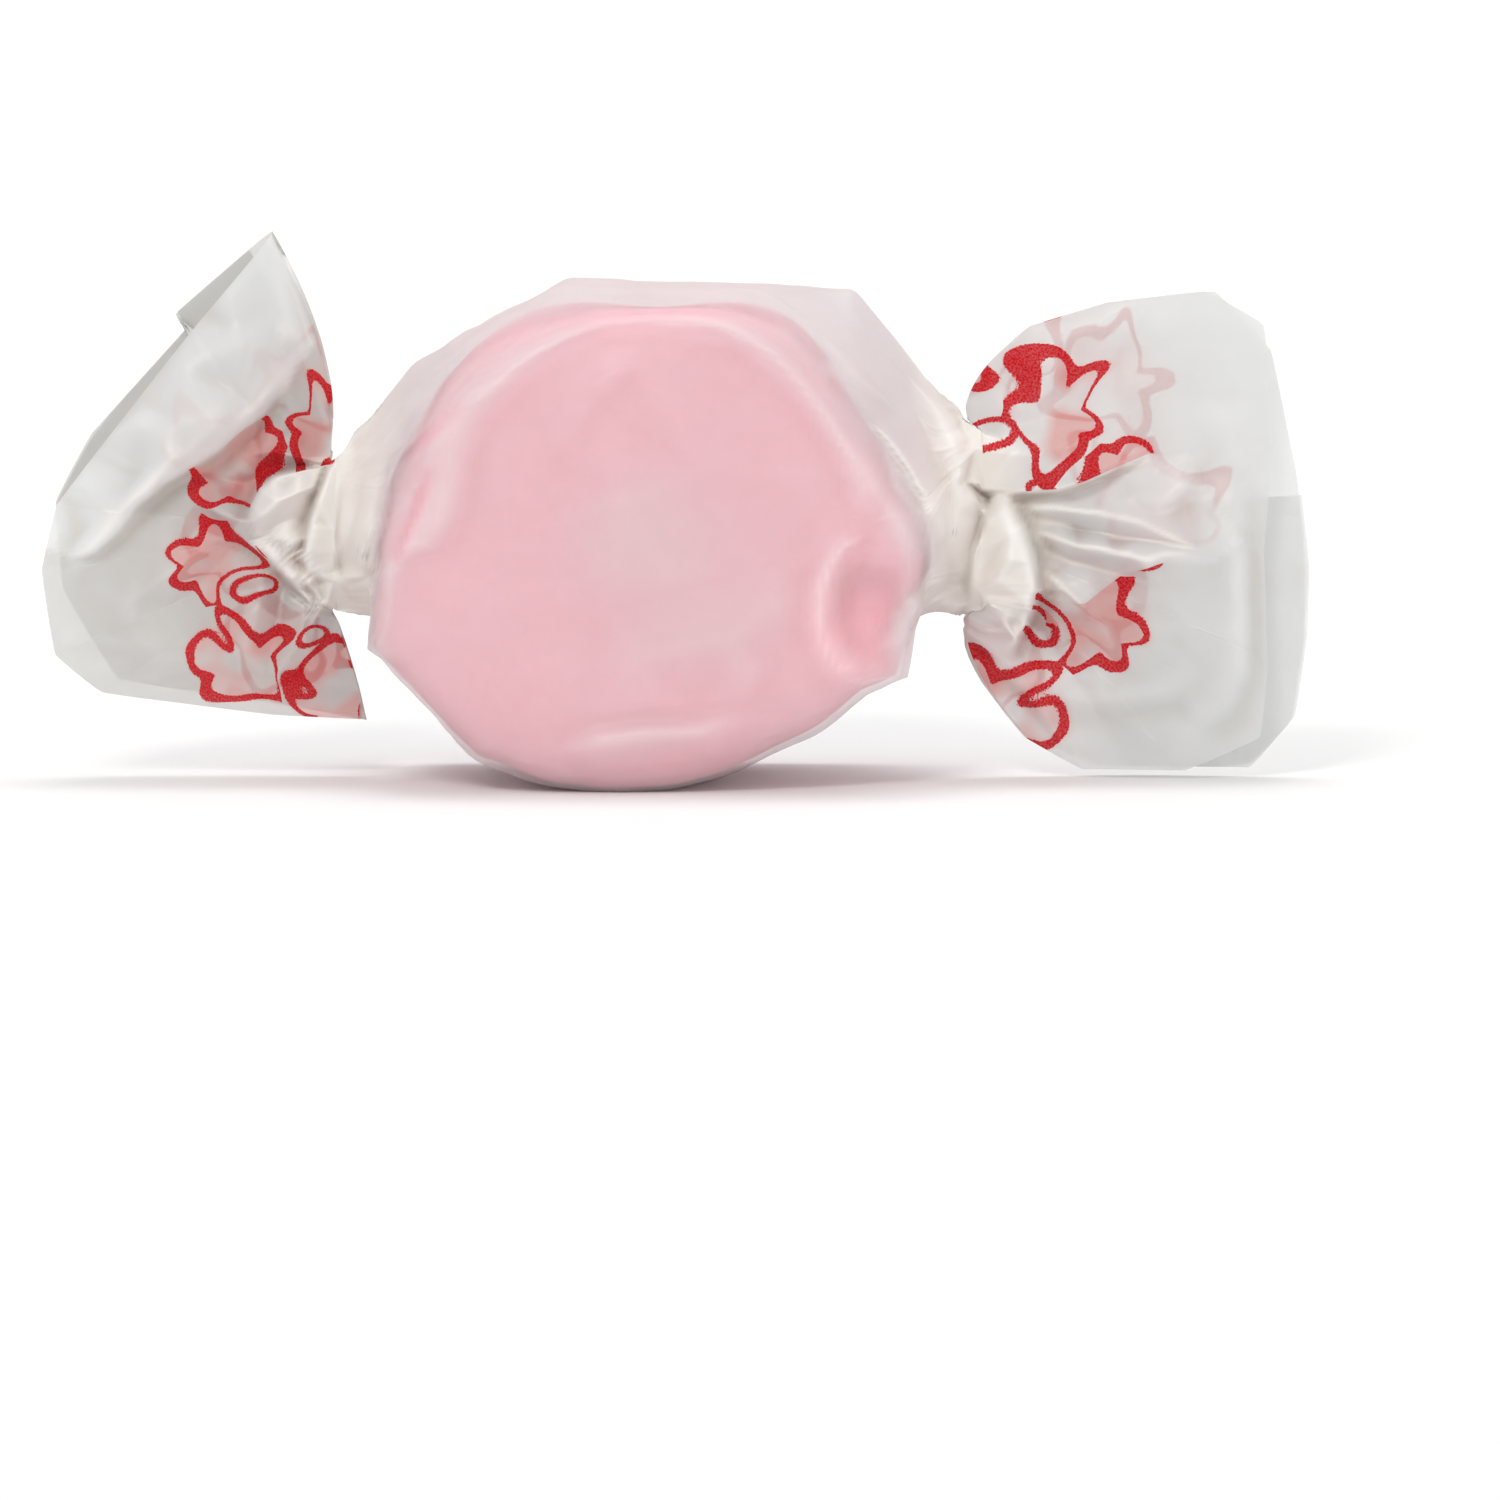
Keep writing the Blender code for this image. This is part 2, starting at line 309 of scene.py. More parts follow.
@dataclass(frozen=True)
class PrintDesign:
    """The red print near both ends of the sheet: a ring of loose outlines of five-armed stars, drawn
    as with a brush that goes from thick to thin, with a small circle between two of them. In mm."""

    ink: str = "#cb0b1c"
    pitch: float = 5.44
    row: float = 7.6
    row_play: float = 0.9
    star: float = 2.15
    arms: float = 5.0
    arm_swell: float = 0.2
    lean: float = 0.14
    lean_turn: float = 1.3
    most_turn: float = 40.0
    thin: float = 0.15
    thick: float = 0.4
    ring: float = 0.62
    ring_row: float = 4.6
    wobble: float = 1.1
    wobble_size: float = 1 / 0.34
    speckle_size: float = 0.09
    speckle: float = 0.16
    tint: str = "#e3a39e"
    tinted: float = 0.85
    patch_size: float = 2.2

    def sums(self) -> list[tuple]:
        """The arithmetic that draws the stars and circles, step by step.

        It starts from "out" and "up", in mm from the middle of the ring, "chance", a random number
        for each star, and "grain". It ends with "inked", above 0 under ink, and "in_star".

        Returns:
            The name of each step's result, its operation, and its terms: numbers or earlier names.
        """
        steps = [
            ("out_squared", "MULTIPLY", "out", "out"),
            ("up_squared", "MULTIPLY", "up", "up"),
            ("squared", "ADD", "out_squared", "up_squared"),
            ("from_middle", "SQRT", "squared"),
            ("round_ring", "ARCTAN2", "up", "out"),
            ("star_tile", "MULTIPLY", "round_ring", self.row / self.pitch),
            ("number", "FLOOR", "star_tile"),
            ("circle_tile", "ADD", "star_tile", 0.5),
            ("star_row", "MULTIPLY_ADD", "chance", self.row_play, self.row - self.row_play / 2),
            ("circle_row", "ADD", self.ring_row, 0.0),
        ]
        for motif in ("star", "circle"):
            steps += [
                (f"{motif}_share", "FRACT", f"{motif}_tile"),
                (f"{motif}_off", "SUBTRACT", f"{motif}_share", 0.5),
                (f"{motif}_aside", "MULTIPLY", f"{motif}_off", self.pitch / self.row),
                (f"{motif}_sine", "SINE", f"{motif}_aside"),
                (f"{motif}_x", "MULTIPLY", "from_middle", f"{motif}_sine"),
                (f"{motif}_cosine", "COSINE", f"{motif}_aside"),
                (f"{motif}_height", "MULTIPLY", "from_middle", f"{motif}_cosine"),
                (f"{motif}_y", "SUBTRACT", f"{motif}_height", f"{motif}_row"),
                (f"{motif}_x_squared", "MULTIPLY", f"{motif}_x", f"{motif}_x"),
                (f"{motif}_y_squared", "MULTIPLY", f"{motif}_y", f"{motif}_y"),
                (f"{motif}_squared", "ADD", f"{motif}_x_squared", f"{motif}_y_squared"),
                (f"{motif}_radius", "SQRT", f"{motif}_squared"),
            ]
        return steps + [
            ("turn", "MULTIPLY", "chance", self.most_turn),
            ("bearing", "ARCTAN2", "star_y", "star_x"),
            ("angle", "ADD", "bearing", "turn"),
            ("arm_angle", "MULTIPLY", "angle", self.arms),
            ("arm_wave", "COSINE", "arm_angle"),
            ("arm_part", "MULTIPLY", "arm_wave", self.arm_swell),
            ("lean_angle", "ADD", "angle", self.lean_turn),
            ("lean_wave", "COSINE", "lean_angle"),
            ("lean_part", "MULTIPLY", "lean_wave", self.lean),
            ("swell", "ADD", "arm_part", "lean_part"),
            ("swollen", "ADD", "swell", 1.0),
            ("edge", "MULTIPLY", "swollen", self.star),
            ("brush_angle", "MULTIPLY_ADD", "angle", 2.0, "turn"),
            ("brush_wave", "COSINE", "brush_angle"),
            ("brush", "MULTIPLY_ADD", "brush_wave", 0.5, 0.5),
            ("width", "MULTIPLY_ADD", "brush", self.thick - self.thin, self.thin),
            ("over_edge", "SUBTRACT", "star_radius", "edge"),
            ("from_edge", "ABSOLUTE", "over_edge"),
            ("star_line", "SUBTRACT", "width", "from_edge"),
            ("over_circle", "SUBTRACT", "circle_radius", self.ring),
            ("from_circle", "ABSOLUTE", "over_circle"),
            ("circle_line", "SUBTRACT", self.thin, "from_circle"),
            ("lines", "MAXIMUM", "star_line", "circle_line"),
            ("inked", "MULTIPLY_ADD", "grain", self.speckle, "lines"),
            ("in_star", "SUBTRACT", "edge", "star_radius"),
        ]


@dataclass(frozen=True)
class WaxedPaperFinish:
    """Waxed paper: thin bleached kraft paper soaked in paraffin.

    The wax fills the fibres, so part of the light goes straight through, part comes out scattered
    and the rest is thrown back white. Its skin has a soft sheen. Where it clings to the candy it
    turns clearer, and where it is gathered, several layers make it nearly opaque white.
    """

    name: str = "waxed paper"
    # The single grey is one layer's colour, and it is also painted shade on the left fan's lower part
    single_and_shade: str = "#cfcecb"
    white: str = "#e7e9e9"
    # The gathered colour is whiter for the stacked layers, and it is painted warmer and lighter, standing in for
    # light caught between them
    gathered: str = "#f1eee8"
    # The fold colour is painted shade in the folds, and the ridge colour is a painted highlight on the ridges
    fold_painted_shade: str = "#bfb2a7"
    fold_shade: float = 0.6
    ridge: str = "#fdfcfa"
    ridge_painted_highlight: float = 0.7
    scattered: float = 0.38
    roughness: float = 0.36
    ior: float = 1.44
    fibre_size: float = 0.5 * MM
    mottle_size: float = 2.6 * MM
    design: PrintDesign = PrintDesign()

    def ink_cover(self, tree: bpy.types.NodeTree) -> tuple[bpy.types.NodeSocket, bpy.types.NodeSocket]:
        """Draws the print in the sheet's own flat coordinates, in mm from the middle of its ring.

        Args:
            tree: the paper's node tree.

        Returns:
            The socket that is 1 under ink and 0 on bare paper, and one that is up to 1 where ink has
            tinted the wax.
        """
        design = self.design
        flat = add_node(tree, "ShaderNodeUVMap", uv_map="flat_sheet").outputs[0]
        sizes = {"shake": (design.wobble_size, 0.0), "grain": (design.speckle_size, 2.0)}
        sizes["patches"] = (design.patch_size, 1.0)
        noise = {
            name: add_node(
                tree,
                "ShaderNodeTexNoise",
                {"Vector": flat, "Scale": 1 / size, "Detail": detail},
                noise_dimensions="2D",
            )
            for name, (size, detail) in sizes.items()
        }
        wobbled = {0: noise["shake"].outputs["Color"], 1: (2 * design.wobble,) * 3, 2: flat}
        shaken = add_node(tree, "ShaderNodeVectorMath", wobbled, operation="MULTIPLY_ADD")
        split = add_node(tree, "ShaderNodeSeparateXYZ", {0: shaken.outputs[0]})
        chance = add_node(tree, "ShaderNodeTexWhiteNoise", noise_dimensions="1D")
        known = {"out": split.outputs[0], "up": split.outputs[1], "chance": chance.outputs[0]}
        known["grain"], patches = (noise[name].outputs["Fac"] for name in ("grain", "patches"))
        for name, operation, *terms in design.sums():
            values = {slot: known.get(term, term) for slot, term in enumerate(terms)}
            known[name] = add_node(tree, "ShaderNodeMath", values, operation=operation).outputs[0]
        tree.links.new(known["number"], chance.inputs["W"])

        # The ink is a little starved in the middle of the thick strokes, as on a fast press, and
        # inside the outlines the wax has drawn a little of it out, in patches
        printed = add_node(tree, "ShaderNodeAttribute", attribute_name="printed").outputs["Fac"]
        shown = add_node(tree, "ShaderNodeMath", {0: printed, 1: 0.5}, operation="GREATER_THAN").outputs[0]
        shares = []
        for ranges in (
            (
                {"Value": known["inked"], "From Min": 0.06, "From Max": 0.11},
                {"Value": known["grain"], "From Min": 0.35, "From Max": 0.62, "To Min": 0.9},
            ),
            (
                {"Value": patches, "From Min": 0.34, "From Max": 0.56, "To Max": design.tinted},
                {"Value": known["in_star"], "From Min": -0.5, "From Max": 0.35},
            ),
        ):
            first, second = (add_node(tree, "ShaderNodeMapRange", limits).outputs[0] for limits in ranges)
            both = add_node(tree, "ShaderNodeMath", {0: first, 1: second}, operation="MULTIPLY").outputs[0]
            shares.append(add_node(tree, "ShaderNodeMath", {0: both, 1: shown}, operation="MULTIPLY").outputs[0])
        return shares[0], shares[1]

    def build(self) -> bpy.types.Material:
        """Makes the material.

        Returns:
            The finished material.
        """
        material, tree = new_material(self.name)
        place = add_node(tree, "ShaderNodeTexCoord").outputs["Object"]
        mottle, fibres = (
            add_node(tree, "ShaderNodeTexNoise", noise).outputs["Fac"]
            for noise in (
                {"Vector": place, "Scale": 1 / self.mottle_size, "Detail": 3.0},
                {"Vector": place, "Scale": 1 / self.fibre_size, "Detail": 4.0},
            )
        )
        bump = add_node(tree, "ShaderNodeBump", {"Height": fibres, "Strength": 0.2, "Distance": 0.03 * MM})
        ink, tint = self.ink_cover(tree)
        clear, layers_and_shade, sunk = (
            add_node(tree, "ShaderNodeAttribute", attribute_name=name).outputs["Fac"]
            for name in ("clearness", "layers_and_shade", "sunk")
        )
        layered, hidden, painted_ridge_highlight, skin_roughness = (
            add_node(tree, "ShaderNodeMapRange", limits).outputs[0]
            for limits in (
                {"Value": clear, "From Min": 0.13, "From Max": 0.05},
                {"Value": sunk, "From Max": 1.0, "To Max": self.fold_shade},
                {"Value": sunk, "From Max": -1.0, "To Max": self.ridge_painted_highlight},
                {"Value": mottle, "To Min": self.roughness - 0.06, "To Max": self.roughness + 0.1},
            )
        )
        # One layer alone is greyer than several, which also paints shade on the left fan's lower part. Gathered
        # layers are painted whiter and warmer, standing in for the light caught between them. The folds are
        # painted darker as painted shade and the ridges lighter as a painted highlight, by how far the paper is sunk
        # or raised
        white = linear(self.single_and_shade)
        for share, colour in (
            (layers_and_shade, self.white),
            (layered, self.gathered),
            (hidden, self.fold_painted_shade),
            (painted_ridge_highlight, self.ridge),
            (tint, self.design.tint),
        ):
            mixed = {"Factor": share, 6: white, 7: linear(colour)}
            white = add_node(tree, "ShaderNodeMix", mixed, data_type="RGBA").outputs[2]
        skin = add_node(
            tree,
            "ShaderNodeBsdfPrincipled",
            {"Base Color": white, "Roughness": skin_roughness, "IOR": self.ior, "Normal": bump.outputs[0]},
        )
        # The ink lies matt in the wax
        printed_skin = add_node(
            tree,
            "ShaderNodeBsdfPrincipled",
            {
                "Base Color": linear(self.design.ink),
                "Roughness": 0.6,
                "IOR": self.ior,
                "Specular IOR Level": 0.08,
                "Normal": bump.outputs[0],
            },
        )
        face = add_node(tree, "ShaderNodeMixShader", {0: ink, 1: skin.outputs[0], 2: printed_skin.outputs[0]})
        inked = {"Factor": ink, 6: white, 7: linear(self.design.ink)}
        glow_colour = add_node(tree, "ShaderNodeMix", inked, data_type="RGBA").outputs[2]
        lit = {"Color": glow_colour, "Normal": bump.outputs[0]}
        glow = add_node(tree, "ShaderNodeBsdfTranslucent", lit).outputs[0]
        # Wax lies unevenly, so the sheet is clearer in some spots than in others
        scattered, uneven = (
            add_node(tree, "ShaderNodeMapRange", {"Value": share, "To Min": low, "To Max": high}).outputs[0]
            for share, low, high in ((layered, self.scattered, 0.5 * self.scattered), (mottle, 0.85, 1.15))
        )
        body = add_node(tree, "ShaderNodeMixShader", {0: scattered, 1: face.outputs[0], 2: glow})
        waxed = add_node(tree, "ShaderNodeMath", {0: clear, 1: uneven}, operation="MULTIPLY").outputs[0]
        bare = add_node(tree, "ShaderNodeMath", {0: ink, 1: -0.95, 2: 1.0}, operation="MULTIPLY_ADD").outputs[0]
        see_through = {0: waxed, 1: bare}
        share = add_node(tree, "ShaderNodeMath", see_through, operation="MULTIPLY", use_clamp=True).outputs[0]
        straight = add_node(tree, "ShaderNodeBsdfTransparent").outputs[0]
        surface = add_node(tree, "ShaderNodeMixShader", {0: share, 1: body.outputs[0], 2: straight})
        add_node(tree, "ShaderNodeOutputMaterial", {"Surface": surface.outputs[0]})
        return material


@dataclass(frozen=True)
class PaintedBoardFinish:
    """Matt white painted board, for the studio's floor and back."""

    name: str = "matt white board"
    white: str = "#ececec"
    roughness: float = 0.85

    def build(self) -> bpy.types.Material:
        """Makes the material.

        Returns:
            The finished material.
        """
        material, tree = new_material(self.name)
        shader = add_node(
            tree,
            "ShaderNodeBsdfPrincipled",
            {"Base Color": linear(self.white), "Roughness": self.roughness, "Specular IOR Level": 0.2},
        )
        add_node(tree, "ShaderNodeOutputMaterial", {"Surface": shader.outputs[0]})
        return material


@dataclass
class Candy:
    """The candy: an oval drum of pulled taffy on its edge, its round faces to the front and back."""

    depth: float = 15.4 * MM
    radii: tuple[float, ...] = (11.7, 10.4, 11.2, 10.0, 11.3, 11.6, 12.0, 12.1, 11.3, 10.4, 10.0, 10.8)
    middle_x: float = -0.6 * MM
    middle_z: float = 10.61 * MM
    foot: float = 0.12 * MM
    plump: float = 0.5 * MM
    plump_top: float = 0.15 * MM
    squareness: float = 9.0
    front_radii: tuple[float, ...] = (
        (11.6, 10.6, 10.0, 10.1, 10.5, 10.9, 10.7, 10.8, 10.7, 10.9, 11.1, 11.3)
        + (11.9, 12.2, 12.0, 11.7, 11.4, 10.9, 10.5, 10.2, 10.1, 10.6, 11.0, 11.5)
    )
    dish: float = 0.3 * MM
    dent_start: tuple[float, float] = (8.9, 7.9)
    dent_end: tuple[float, float] = (10.3, 6.5)
    dent_radius: float = 1.9 * MM
    dent_depth: float = 1.7 * MM
    dent_lip: float = 0.12 * MM
    dent_fade: float = 4.0 * MM
    corners: Corners = Corners(
        (
            ((-12.6, 10.6), (-12.95, 9.3), (-13.15, 6.3), (-8.65, 1.5), (-7.4, 0.9)),
            ((7.0, 3.2), (8.3, 4.3), (10.2, 5.0), (10.7, 7.3), (11.2, 9.0)),
        )
    )
    segments: int = 168
    rings: int = 144
    finish: PulledTaffyFinish = PulledTaffyFinish()

    def outline(self, angle: np.ndarray, forward: np.ndarray, even: bool) -> np.ndarray:
        """The drum's radius, swelled to meet the thin paper, less so at the top.

        Args:
            angle: angles round the face, in radians.
            forward: 1 at the front face to -1 at the back one.
            even: swells the top as much as the rest, for the paper to be laid over.

        Returns:
            The radius at each place.
        """
        turn = angle / (2 * math.pi)
        middle = along_loop(self.radii, turn * len(self.radii)) * MM
        front = along_loop(self.front_radii, turn * len(self.front_radii), 0.6) * MM
        top = 0.0 if even else smooth_step((np.sin(angle) + 0.1) / 0.5)
        swell = self.plump + (self.plump_top - self.plump) * top
        share = smooth_step((forward + 0.2) / 1.2)
        return (middle + swell) * (1 - share) + front * share

    def from_dent(self, x: np.ndarray, z: np.ndarray) -> np.ndarray:
        """How far places are from the middle line of the dent, in dent radii."""
        start = np.array(self.dent_start) * MM
        step = np.array(self.dent_end) * MM - start
        along = np.clip(((x - start[0]) * step[0] + (z - start[1]) * step[1]) / (step @ step), 0.0, 1.0)
        return np.hypot(x - start[0] - along * step[0], z - start[1] - along * step[1]) / self.dent_radius

    def offset(self) -> np.ndarray:
        """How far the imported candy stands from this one's own axes."""
        low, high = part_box("taffy")
        own_middle = self.middle_x + (self.radii[0] - self.radii[6]) / 2 * MM
        return np.array([(low.x + high.x) / 2 - own_middle, (low.y + high.y) / 2, 0.0])

    def build(self, even: bool = False) -> bpy.types.Object:
        """Models the drum from a sphere with its poles front and back.

        Args:
            even: leaves the dent out and swells the top as much as the rest, for laying the paper.

        Returns:
            The candy, on its own axes.
        """
        bpy.ops.object.select_all(action="DESELECT")
        bpy.ops.mesh.primitive_uv_sphere_add(segments=self.segments, ring_count=self.rings, radius=1.0)
        candy = bpy.context.object
        candy.name = "pulled_candy"
        candy.data.name = "pulled_candy"
        points = read_points(candy.data)
        across, up, depth = points[:, 0], points[:, 1], -points[:, 2]
        ring = np.hypot(across, up)
        angle = np.arctan2(up, across) % (2 * math.pi)
        square = (ring**self.squareness + np.abs(depth) ** self.squareness) ** (-1 / self.squareness)
        radius = ring * square * self.outline(angle, -depth * square, even)
        x = self.middle_x + radius * np.cos(angle)
        z = np.maximum(self.middle_z + radius * np.sin(angle), self.foot)
        dish = self.dish * (1 - smooth_step(radius / (8 * MM)))
        y = depth * square * (self.depth / 2 + self.plump) - np.sign(depth) * dish
        if not even:
            from_dent = self.from_dent(x, z)
            dent = self.dent_depth * hump(from_dent**1.5) - self.dent_lip * hump((from_dent - 1.35) / 0.3)
            y += dent * smooth_step(-y / self.dent_fade)
        write_points(candy.data, self.corners.pull(np.column_stack((x, y, z))))
        bpy.ops.object.shade_smooth()
        return candy

    def dress(self, candy: bpy.types.Object) -> None:
        """Gives the finished candy its material and sets it in the frame."""
        dress_piece(candy, self.finish.build())
        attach(candy, "root")
        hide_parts("taffy")


@dataclass(frozen=True)
class Fold:
    """Where one fold line of a fan meets the cut edge, in mm from the middle of the neck, and how
    far the line bows halfway out."""

    out: float
    up: float
    back: float
    bow_out: float = 0.0
    bow_up: float = 0.0


@dataclass(frozen=True)
class Fan:
    """One end of the sheet past its twist: its folds from the top down the front layer to the
    bottom, and back up behind."""

    side: Side
    neck_x: float
    neck_z: float
    neck_height: float
    twist: float
    front: tuple[Fold, ...]
    back: tuple[Fold, ...]
    calm: tuple[float, float, float]
    print_turn: float
    print_scale: float

    def rows(self) -> np.ndarray:
        """The folds as rows of numbers, in metres."""
        folds = [(f.out, f.up, f.back, f.bow_out, f.bow_up) for f in self.front + self.back]
        return np.array(folds) * MM

    def places(self) -> np.ndarray:
        """The place of each fold round the cut edge, from 0 to 1, by the length of edge between."""
        ends = self.rows()[:, :3]
        steps = np.linalg.norm(np.roll(ends, -1, axis=0) - ends, axis=1)
        return np.concatenate(([0.0], np.cumsum(steps))) / steps.sum()


LEFT_FAN = Fan(
    side=Side.LEFT,
    neck_x=-14.8 * MM,
    neck_z=10.9 * MM,
    neck_height=3.4 * MM,
    twist=-36.0,
    front=(
        Fold(2.8, 13.3, 0.6, -1.4, 0.2),
        Fold(6.4, 9.0, -0.5),
        Fold(10.4, 3.9, -1.5),
        Fold(12.3, 1.4, -1.6),
        Fold(13.0, -1.5, -1.3),
        Fold(12.5, -5.3, -0.2),
        Fold(10.4, -7.1, 0.5),
        Fold(3.0, -8.1, 0.8),
        Fold(-1.3, -8.4, 1.5),
    ),
    back=(
        Fold(3.4, -7.6, 2.1),
        Fold(9.8, -6.6, 1.9),
        Fold(12.2, -2.6, 1.2),
        Fold(12.5, 1.2, 0.7),
        Fold(10.9, 4.2, 0.9),
        Fold(6.5, 9.1, 1.2),
        Fold(7.1, 9.6, 1.2),
    ),
    calm=(0.0, 90.0, 0.3),
    print_turn=-19.5,
    print_scale=1.15,
)
RIGHT_FAN = Fan(
    side=Side.RIGHT,
    neck_x=13.8 * MM,
    neck_z=11.6 * MM,
    neck_height=4.0 * MM,
    twist=36.0,
    front=(
        Fold(2.2, 8.5, 0.8, -1.8, 0.6),
        Fold(5.7, 9.6, -0.2),
        Fold(9.9, 10.1, -0.6),
        Fold(12.5, 8.6, -1.0),
        Fold(12.9, 3.6, -1.8),
        Fold(12.5, -1.4, -1.9),
        Fold(12.7, -6.4, -1.3),
        Fold(12.4, -9.7, -0.6),
        Fold(8.8, -11.3, -0.1),
        Fold(4.6, -11.2, 0.4, -0.6),
        Fold(2.0, -9.8, 1.2, -1.9),
    ),
    back=(
        Fold(6.6, -11.6, 1.9),
        Fold(12.0, -11.0, 1.3),
        Fold(13.9, -8.75, 0.9),
        Fold(14.4, -5.2, 0.3),
        Fold(14.45, -2.0, -0.1),
        Fold(14.0, 1.9, -0.1),
        Fold(12.9, 7.4, 0.8),
        Fold(10.4, 10.0, 1.3),
        Fold(5.6, 9.5, 1.6),
    ),
    calm=(14.0, 100.0, 0.3),
    print_turn=10.5,
    print_scale=0.95,
)


class Raised(Enum):
    """The side of a crease's line that stands up."""

    BOTH = 0
    LEFT = 1
    RIGHT = -1


@dataclass(frozen=True)
class Crease:
    """A sharp fold line in the front of the sheet, through points (x, z, rise), all in mm.

    The paper lies flat between neighbouring creases. Where one layer ends over the next, the paper
    drops beside the line, on the side that isn't raised.
    """

    line: tuple[tuple[float, float, float], ...]
    drop: float = 0.0
    raised: Raised = Raised.BOTH


